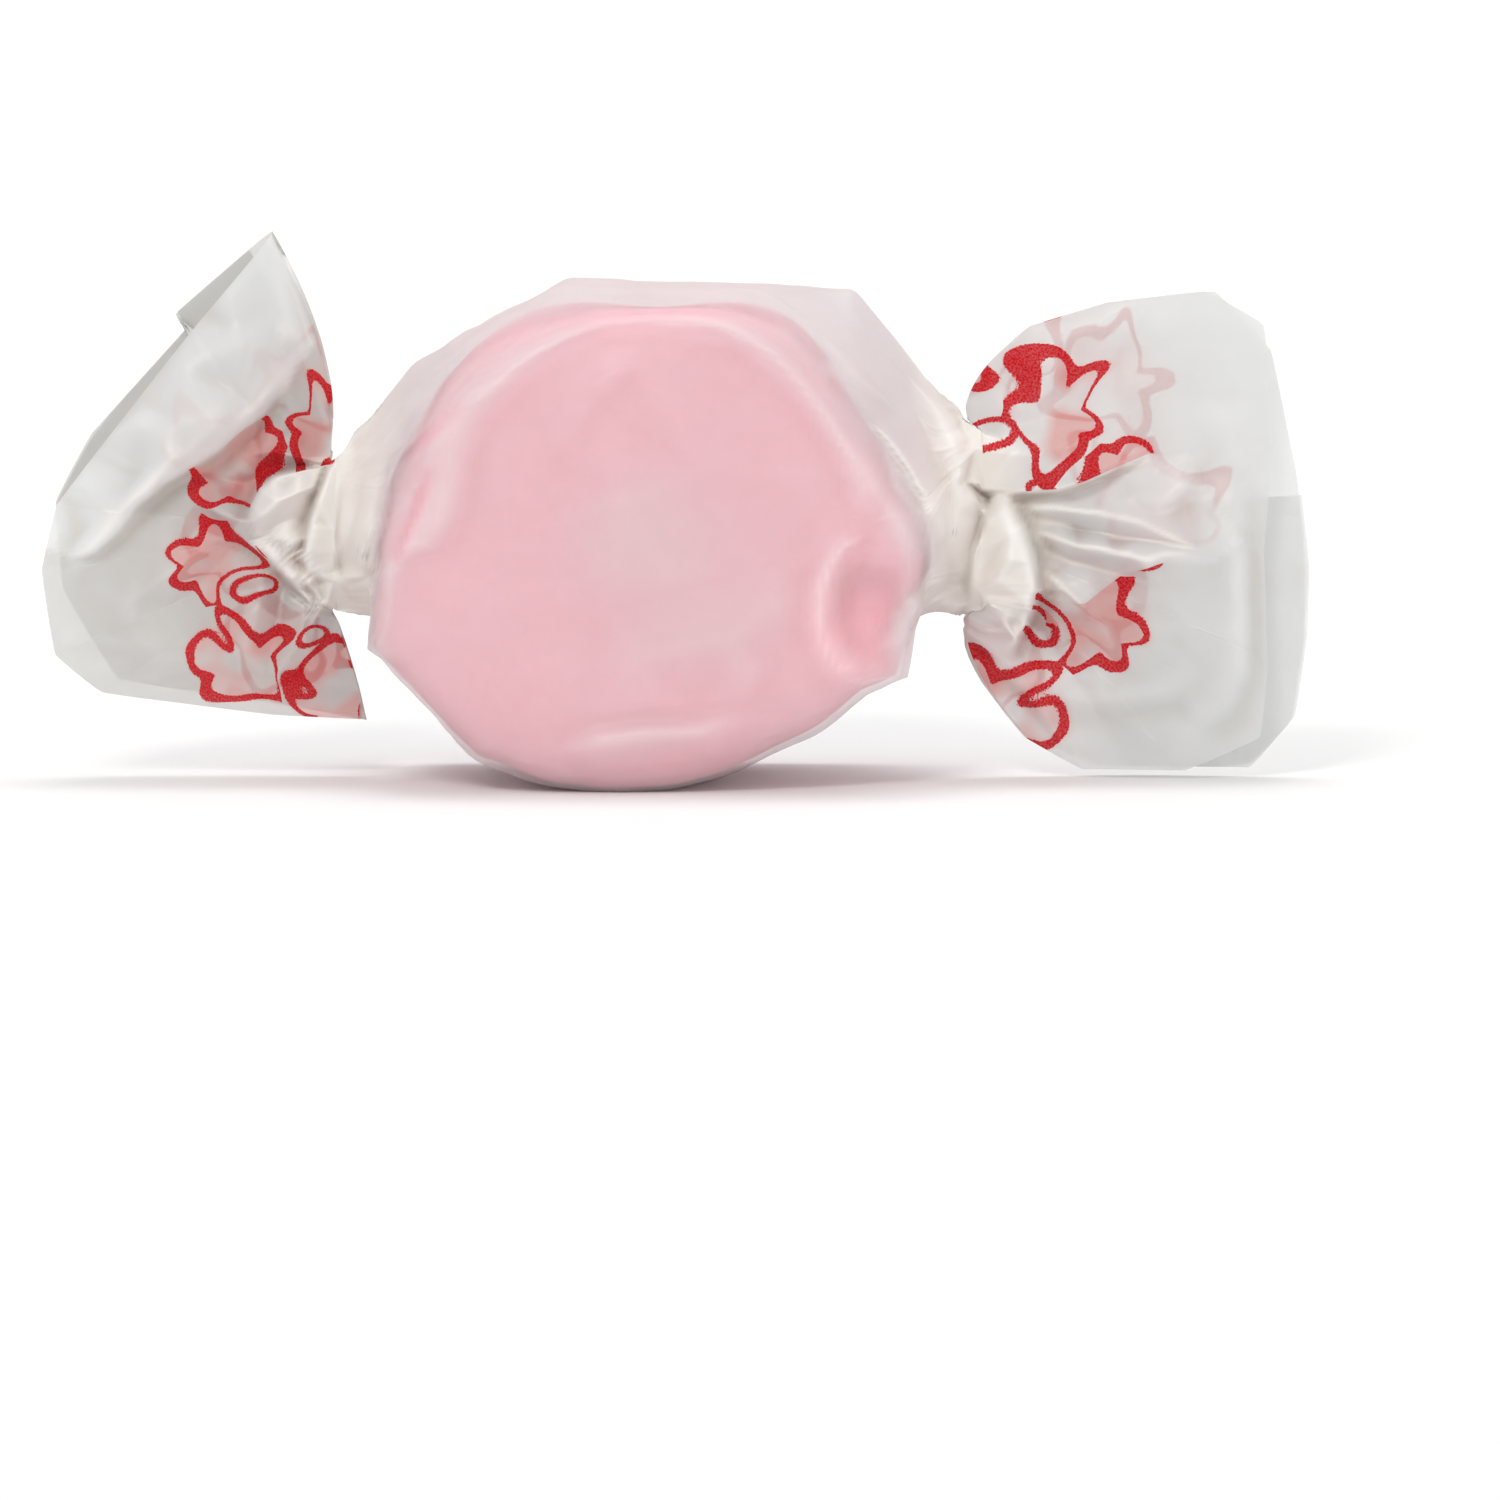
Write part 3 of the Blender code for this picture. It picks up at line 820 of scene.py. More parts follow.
CREASES = (
    # Upper flap's lower edge
    Crease(((13.14, 13.63, 0.3), (13.98, 12.96, 0.9), (15.54, 12.87, 1), (17.31, 13.01, 0.9),
        (18.42, 13.36, 0.8), (19.62, 13.89, 0.6), (21.3, 14.69, 0.2)), 1.3, Raised.LEFT),
    # Upper flap's crown
    Crease(((13.58, 14.78, 0.9), (15.09, 14.6, 1.6), (17.31, 14.69, 1.4), (19.31, 15.23, 0.9),
        (21.3, 16.11, 0.4))),
    # Pocket
    Crease(((14.21, 15.58, 0.7), (14.65, 16.69, 0.9), (16.42, 17.35, 0.8), (18.64, 17.13, 0.5))),
    # Upper fold
    Crease(((14.21, 17.58, 0.4), (16.42, 19.35, 0.6), (19.09, 20.37, 0.5), (21.3, 21.08, 0.2))),
    # Broad fold
    Crease(((19.97, 19.13, 0.1), (21.97, 18.02, 0.35), (23.3, 16.02, 0.3), (23.96, 14.47, 0.1))),
    # Petal's right edge
    Crease(((14.78, 12.61, 0.9), (15.18, 12.12, 1.3), (15.63, 11.37, 1.6), (16.11, 9.81, 1.8),
        (16.25, 8.48, 1.8), (15.98, 7.37, 1.5), (15.45, 6.26, 1.1), (15.05, 5.11, 0.5)), 1.7, Raised.RIGHT),
    # Petal's ridge
    Crease(((14.74, 12.12, 1.4), (15.09, 11.14, 2.1), (15.05, 10.04, 2.3), (14.52, 9.06, 2),
        (13.85, 8.39, 1.5), (13.32, 7.95, 0.9))),
    # Petal's lower ridge
    Crease(((15.63, 8.13, 1.7), (14.83, 7.06, 1.5), (14.12, 6.44, 1))),
    # Petal's lower edge
    Crease(((13.27, 6.8, 0.5), (13.67, 6.18, 0.8), (14.21, 5.69, 0.8),
        (14.83, 5.2, 0.6)), 0.9, Raised.LEFT),
    # Petal's left edge
    Crease(((14.65, 12.74, 0.7), (14.07, 11.63, 1.3), (13.54, 10.26, 1.3), (13.36, 8.84, 1.1),
        (13.19, 7.77, 0.7)), 0.8, Raised.LEFT),
    # Beside the petal
    Crease(((13.58, 12.56, 0.9), (13.94, 11.9, 0.8), (13.63, 11.01, 0.6))),
    # Spoke
    Crease(((14.21, 12.47, -0.2), (15.36, 12.34, 0.1), (16.87, 12.16, 0.5), (18.86, 11.94, 0.6),
        (20.86, 11.5, 0.5), (23.3, 10.35, 0.2))),
    # Hollow
    Crease(((15.63, 11.85, -0.4), (17.31, 11.41, -0.3), (19.31, 10.97, -0.2), (21.3, 10.7, 0))),
    # Spoke
    Crease(((16.25, 11.06, 0.2), (17.98, 10.48, 0.7), (19.53, 10.26, 0.8), (21.75, 10.17, 0.5),
        (24.5, 9.81, 0.2))),
    # Hollow
    Crease(((16.6, 10.35, -0.3), (17.75, 9.72, -0.3), (19.26, 9.37, -0.2))),
    # Spoke
    Crease(((16.69, 9.37, 0.3), (17.53, 8.48, 0.6), (18.51, 7.6, 0.4))),
    # Hollow
    Crease(((16.6, 8.04, -0.4), (16.96, 6.93, -0.4), (16.78, 5.56, -0.3))),
    # Facet
    Crease(((19.88, 13.45, -0.2), (20.42, 12.56, 0.2), (21.39, 11.85, 0.3))),
    # Inner fold
    Crease(((24.14, 13.81, 0.1), (24.94, 11.37, 0.5), (25.3, 9.37, 0.6), (25.34, 7.15, 0.6),
        (25.38, 4.93, 0.5), (24.85, 3.38, 0.4), (23.3, 2.05, 0.2))),
    # Beside the inner fold
    Crease(((25.56, 11.14, -0.1), (25.83, 8.04, -0.2), (25.83, 4.49, -0.15), (25.12, 2.89, -0.1))),
    # Low fold
    Crease(((17.13, 3.51, 0.3), (19.09, 3.6, 0.6), (21.75, 3.96, 0.55), (23.74, 4.85, 0.3))),
    # Low hollow
    Crease(((17.75, 2.54, 0), (19.97, 2.63, 0.05), (22.63, 3.07, 0))),
    # Low left edge
    Crease(((15.18, 4.67, 0.3), (15.63, 4.05, 0.6), (16.42, 2.98, 0.6),
        (17.31, 1.47, 0.2)), 0.6, Raised.LEFT),
    # Print's fold
    Crease(((18.73, 7.06, 0.3), (19.26, 6.04, 0.5), (20.33, 4.58, 0.3))),
    # Print's fold
    Crease(((21.66, 8.7, 0.2), (22.55, 7.15, 0.45), (22.9, 5.6, 0.3))),
    # Low left fold
    Crease(((13.94, 3.96, 0.2), (14.83, 3.07, 0.4), (16.07, 1.65, 0.2))),
    # Upper flap's lower edge
    Crease(((-17.47, 16.73, 0.3), (-18.09, 16.11, 0.7), (-18.84, 15.67, 1), (-19.86, 14.78, 1.1),
        (-21.06, 14.03, 1.1), (-22.39, 13.27, 1.1), (-23.5, 12.34, 1), (-24.47, 11.14, 0.8),
        (-25.49, 10.26, 0.5), (-26.43, 9.95, 0.1)), 1.2, Raised.RIGHT),
    # Flap's ridge
    Crease(((-16.22, 19.35, 0.4), (-16.84, 17.98, 0.9), (-18, 16.91, 1.3), (-19.64, 15.76, 1.6),
        (-21.37, 14.6, 1.6), (-22.92, 13.41, 1.4), (-24.52, 11.94, 1), (-25.72, 10.7, 0.5))),
    # Flap's fold
    Crease(((-17.29, 23.03, 0.2), (-17.11, 20.9, 0.6), (-17.82, 19.04, 0.9), (-19.06, 17.27, 1.2))),
    # Upper ridge
    Crease(((-16.4, 18.46, 0.4), (-16.84, 16.91, 0.6), (-17.64, 15.85, 0.4))),
    # Second edge
    Crease(((-15.16, 14.29, 0.3), (-16.4, 14.38, 0.6), (-17.73, 14.6, 0.6),
        (-18.8, 14.34, 0.3)), 0.5, Raised.RIGHT),
    # Sunk ridge
    Crease(((-19.68, 13.01, 0), (-20.84, 12.39, 0.3), (-22.26, 11.59, 0.2))),
    # Pouch
    Crease(((-15.43, 13.89, 0.5), (-16.4, 13.76, 0.9), (-17.51, 13.54, 1.1), (-18.13, 13.05, 1.2),
        (-18.53, 12.3, 1.2), (-18.66, 11.5, 1)), 1.4, Raised.LEFT),
    # Pouch's crown
    Crease(((-15.69, 13.1, 0.9), (-16.4, 12.92, 1.7), (-17.29, 12.56, 2), (-17.91, 11.94, 1.7),
        (-18.09, 11.41, 1.2))),
    # Pouch's hollow
    Crease(((-16.13, 11.94, 0.6), (-16.76, 11.68, 1.1), (-17.47, 11.32, 1))),
    # Pouch's lower crown
    Crease(((-16.22, 10.97, 0.8), (-16.67, 10.97, 1.2), (-17.11, 11.06, 1.2))),
    # Strip
    Crease(((-18.09, 10.79, 0.9), (-17.29, 10.17, 1.5), (-16.4, 9.19, 1.4), (-15.56, 8.22, 0.6))),
    # Strip's hollow
    Crease(((-17.64, 10.88, 0.7), (-16.84, 10.26, 0.7), (-16.18, 9.55, 0.7), (-15.6, 8.75, 0.3))),
    # Strip
    Crease(((-17.29, 10.88, 1.2), (-16.67, 10.48, 1.4), (-16.05, 9.81, 1.2))),
    # Strip's lower edge
    Crease(((-18.53, 10.7, 0.5), (-18, 10.08, 0.9), (-17.2, 9.28, 1), (-16.4, 8.48, 0.8),
        (-15.6, 7.77, 0.3)), 1, Raised.LEFT),
    # Spoke
    Crease(((-18, 9.15, 0.4), (-18.31, 7.6, 0.7), (-18.75, 5.82, 0.5), (-19.2, 4.49, 0.1))),
    # Hollow
    Crease(((-17.2, 8.39, -0.2), (-17.47, 6.71, -0.2), (-17.82, 4.49, 0))),
    # Spoke
    Crease(((-16.31, 7.77, 0.3), (-16.27, 6.26, 0.6), (-15.78, 4.49, 0.3))),
    # Hollow
    Crease(((-19.15, 10.43, -0.4), (-20.17, 9.37, -0.3), (-21.64, 8.04, -0.1))),
    # Spoke
    Crease(((-20.48, 10.48, 0.2), (-22.08, 9.28, 0.5), (-23.94, 7.95, 0.3))),
    # Low fold
    Crease(((-19.68, 5.6, 0.3), (-22.61, 5.29, 0.4), (-25.49, 6.26, 0.15))),
    # Neck's left edge
    Crease(((-14.41, 14.83, 0.3), (-15.07, 13.72, 1), (-15.56, 12.43, 1.4), (-15.87, 11.41, 1.5),
        (-16.09, 10.26, 1.4), (-16.05, 9.55, 1.3), (-15.78, 8.7, 1),
        (-15.25, 7.77, 0.4)), 1.2, Raised.LEFT),
    # Shoulder's ridge
    Crease(((-14, 14.51, 0.5), (-14.53, 13.01, 1), (-14.75, 11.24, 1.3), (-14.66, 10.22, 1.2),
        (-14.93, 9.25, 0.9))),
    # Dark fold
    Crease(((-13.43, 13.45, 0.5), (-13.82, 11.68, 0.5), (-14.31, 10.35, 0.4), (-14.58, 9.56, 0.5))),
    # Shoulder's edge
    Crease(((-12.67, 14.87, 0.5), (-13.11, 13.1, 0.9), (-13.42, 11.25, 1.1), (-13.46, 9.58, 0.6))),
    # Neck's hem
    Crease(((-14.93, 8.89, 0.9), (-14.31, 9.16, 1.1), (-13.16, 9.12, 0.6))),
    # Pink edge
    Crease(((-11.52, 14.6, 0.3), (-12.27, 14.16, 0.8), (-12.36, 12.88, 0.9), (-12.49, 11.74, 0.9),
        (-12.85, 10.81, 0.8), (-12.93, 10.33, 0.8), (-12.63, 9.58, 0.7),
        (-12.8, 8.61, 0.4)), 0.5, Raised.LEFT),
    # White fold
    Crease(((-11.52, 15.22, 0.3), (-10.55, 16.1, 0.5), (-8.79, 17.47, 0.5), (-6.58, 18.79, 0.4),
        (-4.6, 19.76, 0.2))),
    # Left ridge
    Crease(((-11.21, 13.46, 0.4), (-11.74, 12.53, 0.5), (-12.14, 11.34, 0.4))),
    # Left hollow
    Crease(((-10.82, 13.1, 0.15), (-11.3, 12, 0.15), (-11.88, 10.9, 0.2))),
    # Left ridge
    Crease(((-10.38, 13.99, 0.35), (-10.51, 12.66, 0.45), (-11.35, 11.03, 0.5), (-11.92, 9.93, 0.35))),
    # Front rim, left
    Crease(((-2.57, 20.64, 0.2), (-4.76, 19.98, 0.5), (-6.08, 19.24, 0.55), (-7.39, 18.23, 0.55),
        (-8.62, 17.18, 0.55), (-9.23, 16.21, 0.55), (-9.49, 14.99, 0.5), (-9.62, 13.67, 0.5),
        (-9.97, 12.23, 0.5), (-10.63, 11.13, 0.45), (-11.42, 10.17, 0.1))),
    # Inside the rim, left
    Crease(((-1.26, 19.8, 0), (-3.01, 19.63, -0.05), (-4.98, 18.84, -0.05), (-6.51, 17.61, -0.05),
        (-7.92, 16.04, -0.05), (-8.53, 14.42, -0.05), (-8.79, 12.45, -0.05), (-9.67, 10.69, 0))),
    # Front rim, right
    Crease(((-1.26, 20.77, 0.2), (1.9, 20.68, 0.5), (3.78, 19.98, 0.55), (4.92, 19.1, 0.55),
        (5.97, 17.92, 0.55), (7.06, 16.39, 0.55), (7.94, 15.07, 0.5), (8.55, 13.5, 0.45),
        (8.73, 12.01, 0.1))),
    # Inside the rim, right
    Crease(((0.93, 19.8, 0), (2.9, 19.37, -0.05), (4.35, 18.32, -0.05), (5.75, 16.65, -0.05),
        (6.89, 15.07, -0.05), (7.59, 13.5, -0.05), (7.85, 12.27, 0))),
    # Soft fold
    Crease(((0.49, 8.94, 0.15), (2.68, 6.97, 0.4), (3.56, 5, 0.35), (3.21, 3.86, 0.05))),
    # Soft hollow
    Crease(((-1.61, 18.49, -0.1), (-3.01, 17.09, -0.25), (-4.54, 15.07, -0.25), (-6.29, 12.88, 0))),
    # Soft fold
    Crease(((-5.42, 11.83, 0.1), (-2.13, 12.88, 0.3), (1.37, 14.2, 0.15))),
    # Soft fold
    Crease(((-3.36, 17.92, 0.1), (-2.57, 18.49, 0.25), (-1.26, 18.75, 0.1))),
    # Soft fold
    Crease(((-3.01, 8.07, 0.1), (-1.26, 6.1, 0.3), (-0.91, 4.12, 0.2))),
    # Soft fold
    Crease(((5.05, 10.26, 0.1), (4.44, 8.29, 0.35), (4.52, 5.88, 0.15))),
    # Dimple's crescent
    Crease(((8.64, 11.57, 0), (7.76, 11.09, 0.4), (7.11, 10.26, 0.65), (6.71, 8.94, 0.8), (6.63, 7.85, 0.8),
        (6.85, 6.66, 0.65), (7.41, 5.61, 0.5), (8.2, 4.83, 0.2))),
    # Dimple's hollow
    Crease(((8.55, 10.78, -0.1), (7.9, 10.08, -0.3), (7.55, 8.94, -0.5), (7.5, 7.72, -0.5),
        (7.81, 6.53, -0.4), (8.47, 5.7, -0.2))),
    # Round the dimple
    Crease(((7.94, 11.83, 0.1), (7.02, 11.09, 0.2), (6.41, 9.99, 0.2), (6.01, 8.68, 0.2), (5.97, 7.28, 0.2),
        (6.28, 6.05, 0.15), (7.15, 4.56, 0))),
    # Bottom fold
    Crease(((-5.29, 1.76, 0.1), (-2.92, 2.46, 0.5), (-1.26, 2.72, 0.5), (1.37, 2.85, 0.5),
        (3.65, 3.25, 0.1))),
    # Above the bottom fold
    Crease(((-3.54, 3.07, 0), (-1.04, 3.42, 0), (1.37, 3.6, 0), (3.56, 4.04, 0))),
    # Shoulder's edge
    Crease(((8.94, 16.46, 0.3), (9.69, 15.4, 0.7), (10.57, 14.16, 0.9), (11.45, 12.62, 1),
        (12.42, 11.34, 0.9), (13.09, 10.33, 0.5)), 0.7, Raised.LEFT),
    # Shoulder's ridge
    Crease(((11.32, 17.43, 0.2), (11.9, 16.54, 0.8), (12.42, 15.4, 1.1), (12.82, 14.07, 1.1),
        (13.09, 12.44, 0.8))),
    # Shoulder's hollow
    Crease(((10.7, 17.07, 0), (11.32, 15.49, 0.1), (12.03, 13.72, 0.1), (12.64, 12.05, 0.2))),
    # Right pink edge
    Crease(((9.87, 13.37, 0.3), (10.53, 12.53, 0.6), (11.1, 11.78, 0.8), (11.41, 10.81, 0.8),
        (11.45, 9.75, 0.5)), 0.5, Raised.RIGHT),
    # Tag
    Crease(((11.79, 9.91, 0.5), (11.7, 8.85, 0.8), (11.35, 7.97, 0.4))),
    # Tag's hollow
    Crease(((12.41, 9.65, 0.1), (12.32, 8.58, 0.1))),
)
OUTLINE = (
    (-17.86, 24.54), (-14.41, 14.91), (-11.88, 17.25), (-5.56, 22.12), (6.76, 21.72), (10.44, 18.12),
    (12.96, 15.85), (13.23, 17.13), (13.98, 19.04), (15.63, 20.46), (17.31, 20.55), (21.21, 22.15),
    (23.52, 22.15), (25.12, 21.61), (25.92, 20.68), (27.25, 15.58), (28.05, 12.47), (28.49, 9.37),
    (28.4, 5.82), (27.87, 2.94), (25.83, 0.59), (19.75, -0.3), (17.4, 0.23), (16.25, 0.94), (13.94, 3.43),
    (12.88, 5.82), (13.05, 7.33), (11.52, 6.82), (10.61, 5.12), (7.96, 3.79), (6.29, 3.18), (2.46, 1.46),
    (-2.86, 0.63), (-4.71, 0.36), (-8.4, 2.12), (-12.7, 6.53), (-12.98, 7.7), (-14.89, 7.51),
    (-13.47, 4.05), (-13.65, 2.45), (-17.95, 2.63), (-25.81, 3.6), (-27.49, 5.51), (-28.38, 9.37),
    (-28.24, 11.59), (-27.31, 13.45), (-25.89, 14.78), (-21.64, 20.1), (-22.26, 20.77),
)
PRESSED = (
    # Back rim
    ((-10.21, 17.94), (-8.65, 19.1), (-7.54, 19.72), (-6.21, 20.34), (-4.88, 20.74), (-3.1, 21.01),
     (-0.88, 21.14), (1.34, 21.19), (3.34, 21.05), (5.34, 20.43), (6.76, 19.01)),
    # Left crease
    ((-10.6, 14.16), (-10.99, 12.66), (-11.88, 10.46)),
    # Pink fold
    ((-11.39, 15.49), (-10.46, 17.07), (-9.23, 18.71)),
    # Pink edge
    ((-9.23, 16.85), (-10.77, 15.49), (-12.18, 14.34), (-12.36, 12.66), (-12.89, 10.55)),
    # Thin fold
    ((7.22, 17.96), (7.97, 17.21), (8.76, 16.28)),
)
LEFT_BLANKS = (
    # Upper flap
    ((-17.86, 25.12), (-22.61, 20.55), (-26.16, 14.69), (-27.93, 12.47), (-27.49, 9.99), (-26.43, 9.95),
     (-25.49, 10.21), (-24.47, 11.1), (-23.5, 12.3), (-22.39, 13.23), (-21.06, 13.98), (-19.86, 14.74),
     (-18.84, 15.62), (-18.09, 16.07), (-17.07, 16.82), (-16.58, 17.8), (-15.96, 19.04), (-16.4, 23.03)),
    # Pouch
    ((-14.41, 14.16), (-16.4, 13.76), (-17.51, 13.54), (-18.13, 13.05), (-18.53, 12.3), (-18.66, 11.5),
     (-18.53, 10.7), (-17.2, 9.28), (-15.51, 7.68), (-14.09, 7.6), (-14.09, 14.16)),
)
RIGHT_BLANKS = (
    # Petal
    ((14.78, 13.05), (15.18, 12.12), (15.63, 11.37), (16.11, 9.81), (16.25, 8.48), (15.98, 7.37),
     (15.45, 6.26), (15, 5.07), (14.21, 5.69), (13.54, 6.26), (12.88, 7.37), (12.43, 8.04), (13.32, 10.48),
     (14.21, 11.94)),
    # White facets
    ((13.14, 13.63), (13.98, 12.96), (15.54, 12.87), (17.31, 13.01), (18.42, 13.36), (19.62, 13.89),
     (21.3, 14.6), (25.74, 13.36), (25.3, 10.7), (24.19, 9.72), (21.75, 9.72), (19.97, 9.06), (18.42, 7.86),
     (16.96, 7.86), (16.25, 8.48), (16.11, 9.81), (14.78, 13.05)),
)
STACKED = (
    # Upper flap
    ((-18.09, 25.56), (-23.05, 20.55), (-26.6, 14.69), (-28.38, 12.92), (-28.82, 10.7), (-26.43, 9.95),
     (-25.49, 10.21), (-24.47, 11.1), (-23.5, 12.3), (-22.39, 13.23), (-21.06, 13.98), (-19.86, 14.74),
     (-18.84, 15.62), (-18.09, 16.07), (-17.47, 16.73), (-17.02, 17.27), (-16.4, 18.46), (-15.69, 19.35),
     (-16.84, 23.03)),
    # Pouch
    ((-14.18, 13.98), (-16.4, 13.76), (-17.51, 13.54), (-18.13, 13.05), (-18.53, 12.3), (-18.66, 11.5),
     (-18.35, 10.88), (-16.84, 10.7), (-15.6, 10.35), (-14.09, 10.17)),
    # Strip
    ((-18.09, 10.88), (-17.2, 10.26), (-16.31, 9.24), (-15.51, 8.13), (-15.6, 7.77), (-16.4, 8.48),
     (-17.2, 9.28), (-18, 10.08), (-18.53, 10.61)),
    # Petal
    ((14.78, 12.92), (15.18, 12.12), (15.63, 11.37), (16.11, 9.81), (16.25, 8.48), (15.98, 7.37),
     (15.45, 6.26), (15, 5.07), (14.21, 5.69), (13.54, 6.26), (12.96, 6.93), (13.1, 7.77), (13.36, 8.84),
     (13.54, 10.26), (14.07, 11.63)),
    # White facets
    ((13.14, 13.63), (13.98, 12.96), (15.54, 12.87), (17.31, 13.01), (18.42, 13.36), (19.62, 13.89),
     (21.3, 14.6), (23.52, 13.36), (25.3, 10.7), (24.19, 9.72), (21.75, 9.72), (19.97, 9.06), (18.42, 7.86),
     (16.96, 7.86), (16.25, 8.48), (16.11, 9.81), (14.78, 12.92)),
)
CLINGING = (
    # The candy's front
    ((-12.22, 14.26), (-12.31, 12.98), (-12.44, 11.84), (-12.8, 10.91), (-12.88, 10.43), (-12.58, 9.68),
     (-12.88, 8.63), (-13.06, 6.61), (-11.83, 3.09), (-4.79, -1.75), (8.4, -0.43), (11.47, 4.85),
     (10.77, 7.75), (10.42, 8.36), (11.43, 9.68), (11.43, 10.91), (11.08, 11.88), (10.51, 12.63),
     (9.85, 13.46), (9.28, 15.4), (8.92, 17.16), (7.08, 21.55), (-1.28, 23.75), (-8.31, 21.55),
     (-11.17, 15.4)),
)


@dataclass
class Wrapper:
    """The sheet of waxed paper: rolled round the candy, gathered into two twisted necks and opened
    out into two fans. Rows run across the sheet from fan to fan, and columns along each row."""

    fan_rows: int = 60
    body_rows: int = 120
    columns: int = 415
    front_turned: tuple[float, float] = (235.0, 485.0)
    front_share: float = 0.78
    inner_edge: float = 135.0
    wrap_turn: float = 435.0
    lap_lift: float = 0.2 * MM
    lap_ramp: float = 20.0
    clearance: float = 0.18 * MM
    crowding: float = 0.35
    fan_crowding: float = 1.35
    neck_depth: float = 0.3 * MM
    pinch: float = 1.4 * MM
    twist_length: float = 2.6 * MM
    unwind_share: float = 0.3
    bend_share: float = 0.06
    round_fade: float = 2.2
    roundness: float = 0.2
    slip: float = 0.01
    hug: float = 0.85
    step_width: float = 0.26
    relief: float = 1.25
    room: float = 0.08
    crush_size: float = 1.5
    crush_height: float = 0.13
    crush_stacked: float = 0.5
    pressed_width: float = 0.3 * MM
    crack_white: float = 0.5
    most_clear: float = 0.66
    bend_start: float = 0.9
    bend_range: float = 2.6
    fan_foot: float = 0.4 * MM
    reach_rings: int = 97
    reach_step: float = 3.0
    ridge: tuple[tuple[float, float], ...] = (
        ((-14.4, 14.7), (-11.4, 18.35), (-4.5, 22.15), (8.2, 21.6), (13.0, 15.6))
    )
    ridge_angle: float = 92.0
    back_print_turn: float = 97.0
    front_calm: float = 0.82
    face_calm: float = 0.92
    facet_sizes: tuple[tuple[float, float, float], ...] = ((4.4 * MM, 0.16, 0.16), (1.9 * MM, 0.03, 0.10))
    press_passes: int = 10
    fan_clear: float = 1.5
    stack_edge: float = 0.25 * MM
    stack_white: float = 0.45
    fan_layers_and_shade: tuple[float, float] = (0.0, 0.75)
    body_layers: float = 0.9
    corners: Corners = Corners(
        (
            ((-12.7, 10.6), (-13.0, 9.4), (-13.3, 6.2), (-8.7, 1.4), (-7.4, 0.8)),
            ((7.0, 3.1), (8.4, 4.2), (10.5, 4.9), (10.95, 7.3), (11.4, 9.0)),
        )
    )
    sink_reach: int = 4
    sink_depth: float = 0.45 * MM
    sheet_width: float = 83.0 * MM
    fan_length: float = 14.0 * MM
    pleats: tuple[tuple[int, float, float], ...] = ((9, 0.4, 7.0), (19, 0.25, 5.0), (37, 0.1, 2.5))
    seed: int = 11
    finish: WaxedPaperFinish = WaxedPaperFinish()

    def axis_height(self, x: np.ndarray) -> np.ndarray:
        """Height of the twist axis, which rises a little from the left neck to the right one."""
        rise = (RIGHT_FAN.neck_z - LEFT_FAN.neck_z) / (RIGHT_FAN.neck_x - LEFT_FAN.neck_x)
        return LEFT_FAN.neck_z + rise * (x - LEFT_FAN.neck_x)

    def neck_ring(self, fan: Fan, angle: np.ndarray) -> np.ndarray:
        """The reach of a flattened neck at each angle, in degrees."""
        radians = np.radians(angle)
        return 1 / np.hypot(np.cos(radians) / self.neck_depth, np.sin(radians) / fan.neck_height)

    def spread(self, fan: Fan, angle: np.ndarray) -> np.ndarray:
        """The angle at which the paper lies in a flattened neck, so that it is spread over the
        neck's height, for the angle at which it lies round the candy, in degrees."""
        radians = np.radians(angle)
        flat = np.degrees(np.arctan2(fan.neck_height * np.sin(radians), self.neck_depth * np.cos(radians)))
        return angle + (flat - angle + 180.0) % 360.0 - 180.0

    def taut_row(self, places: np.ndarray, reach: np.ndarray) -> np.ndarray:
        """A thread pulled tight over a row of reaches.

        Args:
            places: where the reaches stand, in rising order.
            reach: the height at each place.

        Returns:
            The thread's height at each place.
        """
        kept = []
        for index in range(len(places)):
            while len(kept) > 1:
                a, b = kept[-2], kept[-1]
                turn = (places[b] - places[a]) * (reach[index] - reach[a])
                turn -= (places[index] - places[a]) * (reach[b] - reach[a])
                if turn < 0:
                    break
                kept.pop()
            kept.append(index)
        return np.interp(places, places[kept], reach[kept])

    def taut_round(self, angles: np.ndarray, reach: np.ndarray) -> np.ndarray:
        """Paper pulled tight round one slice: the slice's hull, seen from the twist axis.

        Args:
            angles: the angles round the axis in radians, in even steps over one turn.
            reach: the reach at each of them.

        Returns:
            The reach of the hull at each angle.
        """
        count = len(angles)
        kept = []
        for index in list(range(count)) * 2:
            while len(kept) > 1:
                a, b = kept[-2], kept[-1]
                ax, ay = reach[a] * math.cos(angles[a]), reach[a] * math.sin(angles[a])
                bx, by = reach[b] * math.cos(angles[b]), reach[b] * math.sin(angles[b])
                cx, cy = reach[index] * math.cos(angles[index]), reach[index] * math.sin(angles[index])
                if (bx - ax) * (cy - ay) - (by - ay) * (cx - ax) > 0:
                    break
                kept.pop()
            kept.append(index)
        hull = np.unique(kept[len(kept) // 3 :])
        around = np.concatenate((angles[hull], angles[hull[:1]] + 2 * math.pi))
        far = np.concatenate((reach[hull], reach[hull[:1]]))
        turned = np.where(angles < around[0], angles + 2 * math.pi, angles)
        after = np.clip(np.searchsorted(around, turned, side="right"), 1, len(around) - 1)
        a0, a1, r0, r1 = around[after - 1], around[after], far[after - 1], far[after]
        bottom = r0 * np.sin(turned - a0) + r1 * np.sin(a1 - turned)
        return np.where(bottom > 1e-12, r0 * r1 * np.sin(a1 - a0) / np.maximum(bottom, 1e-12), reach)

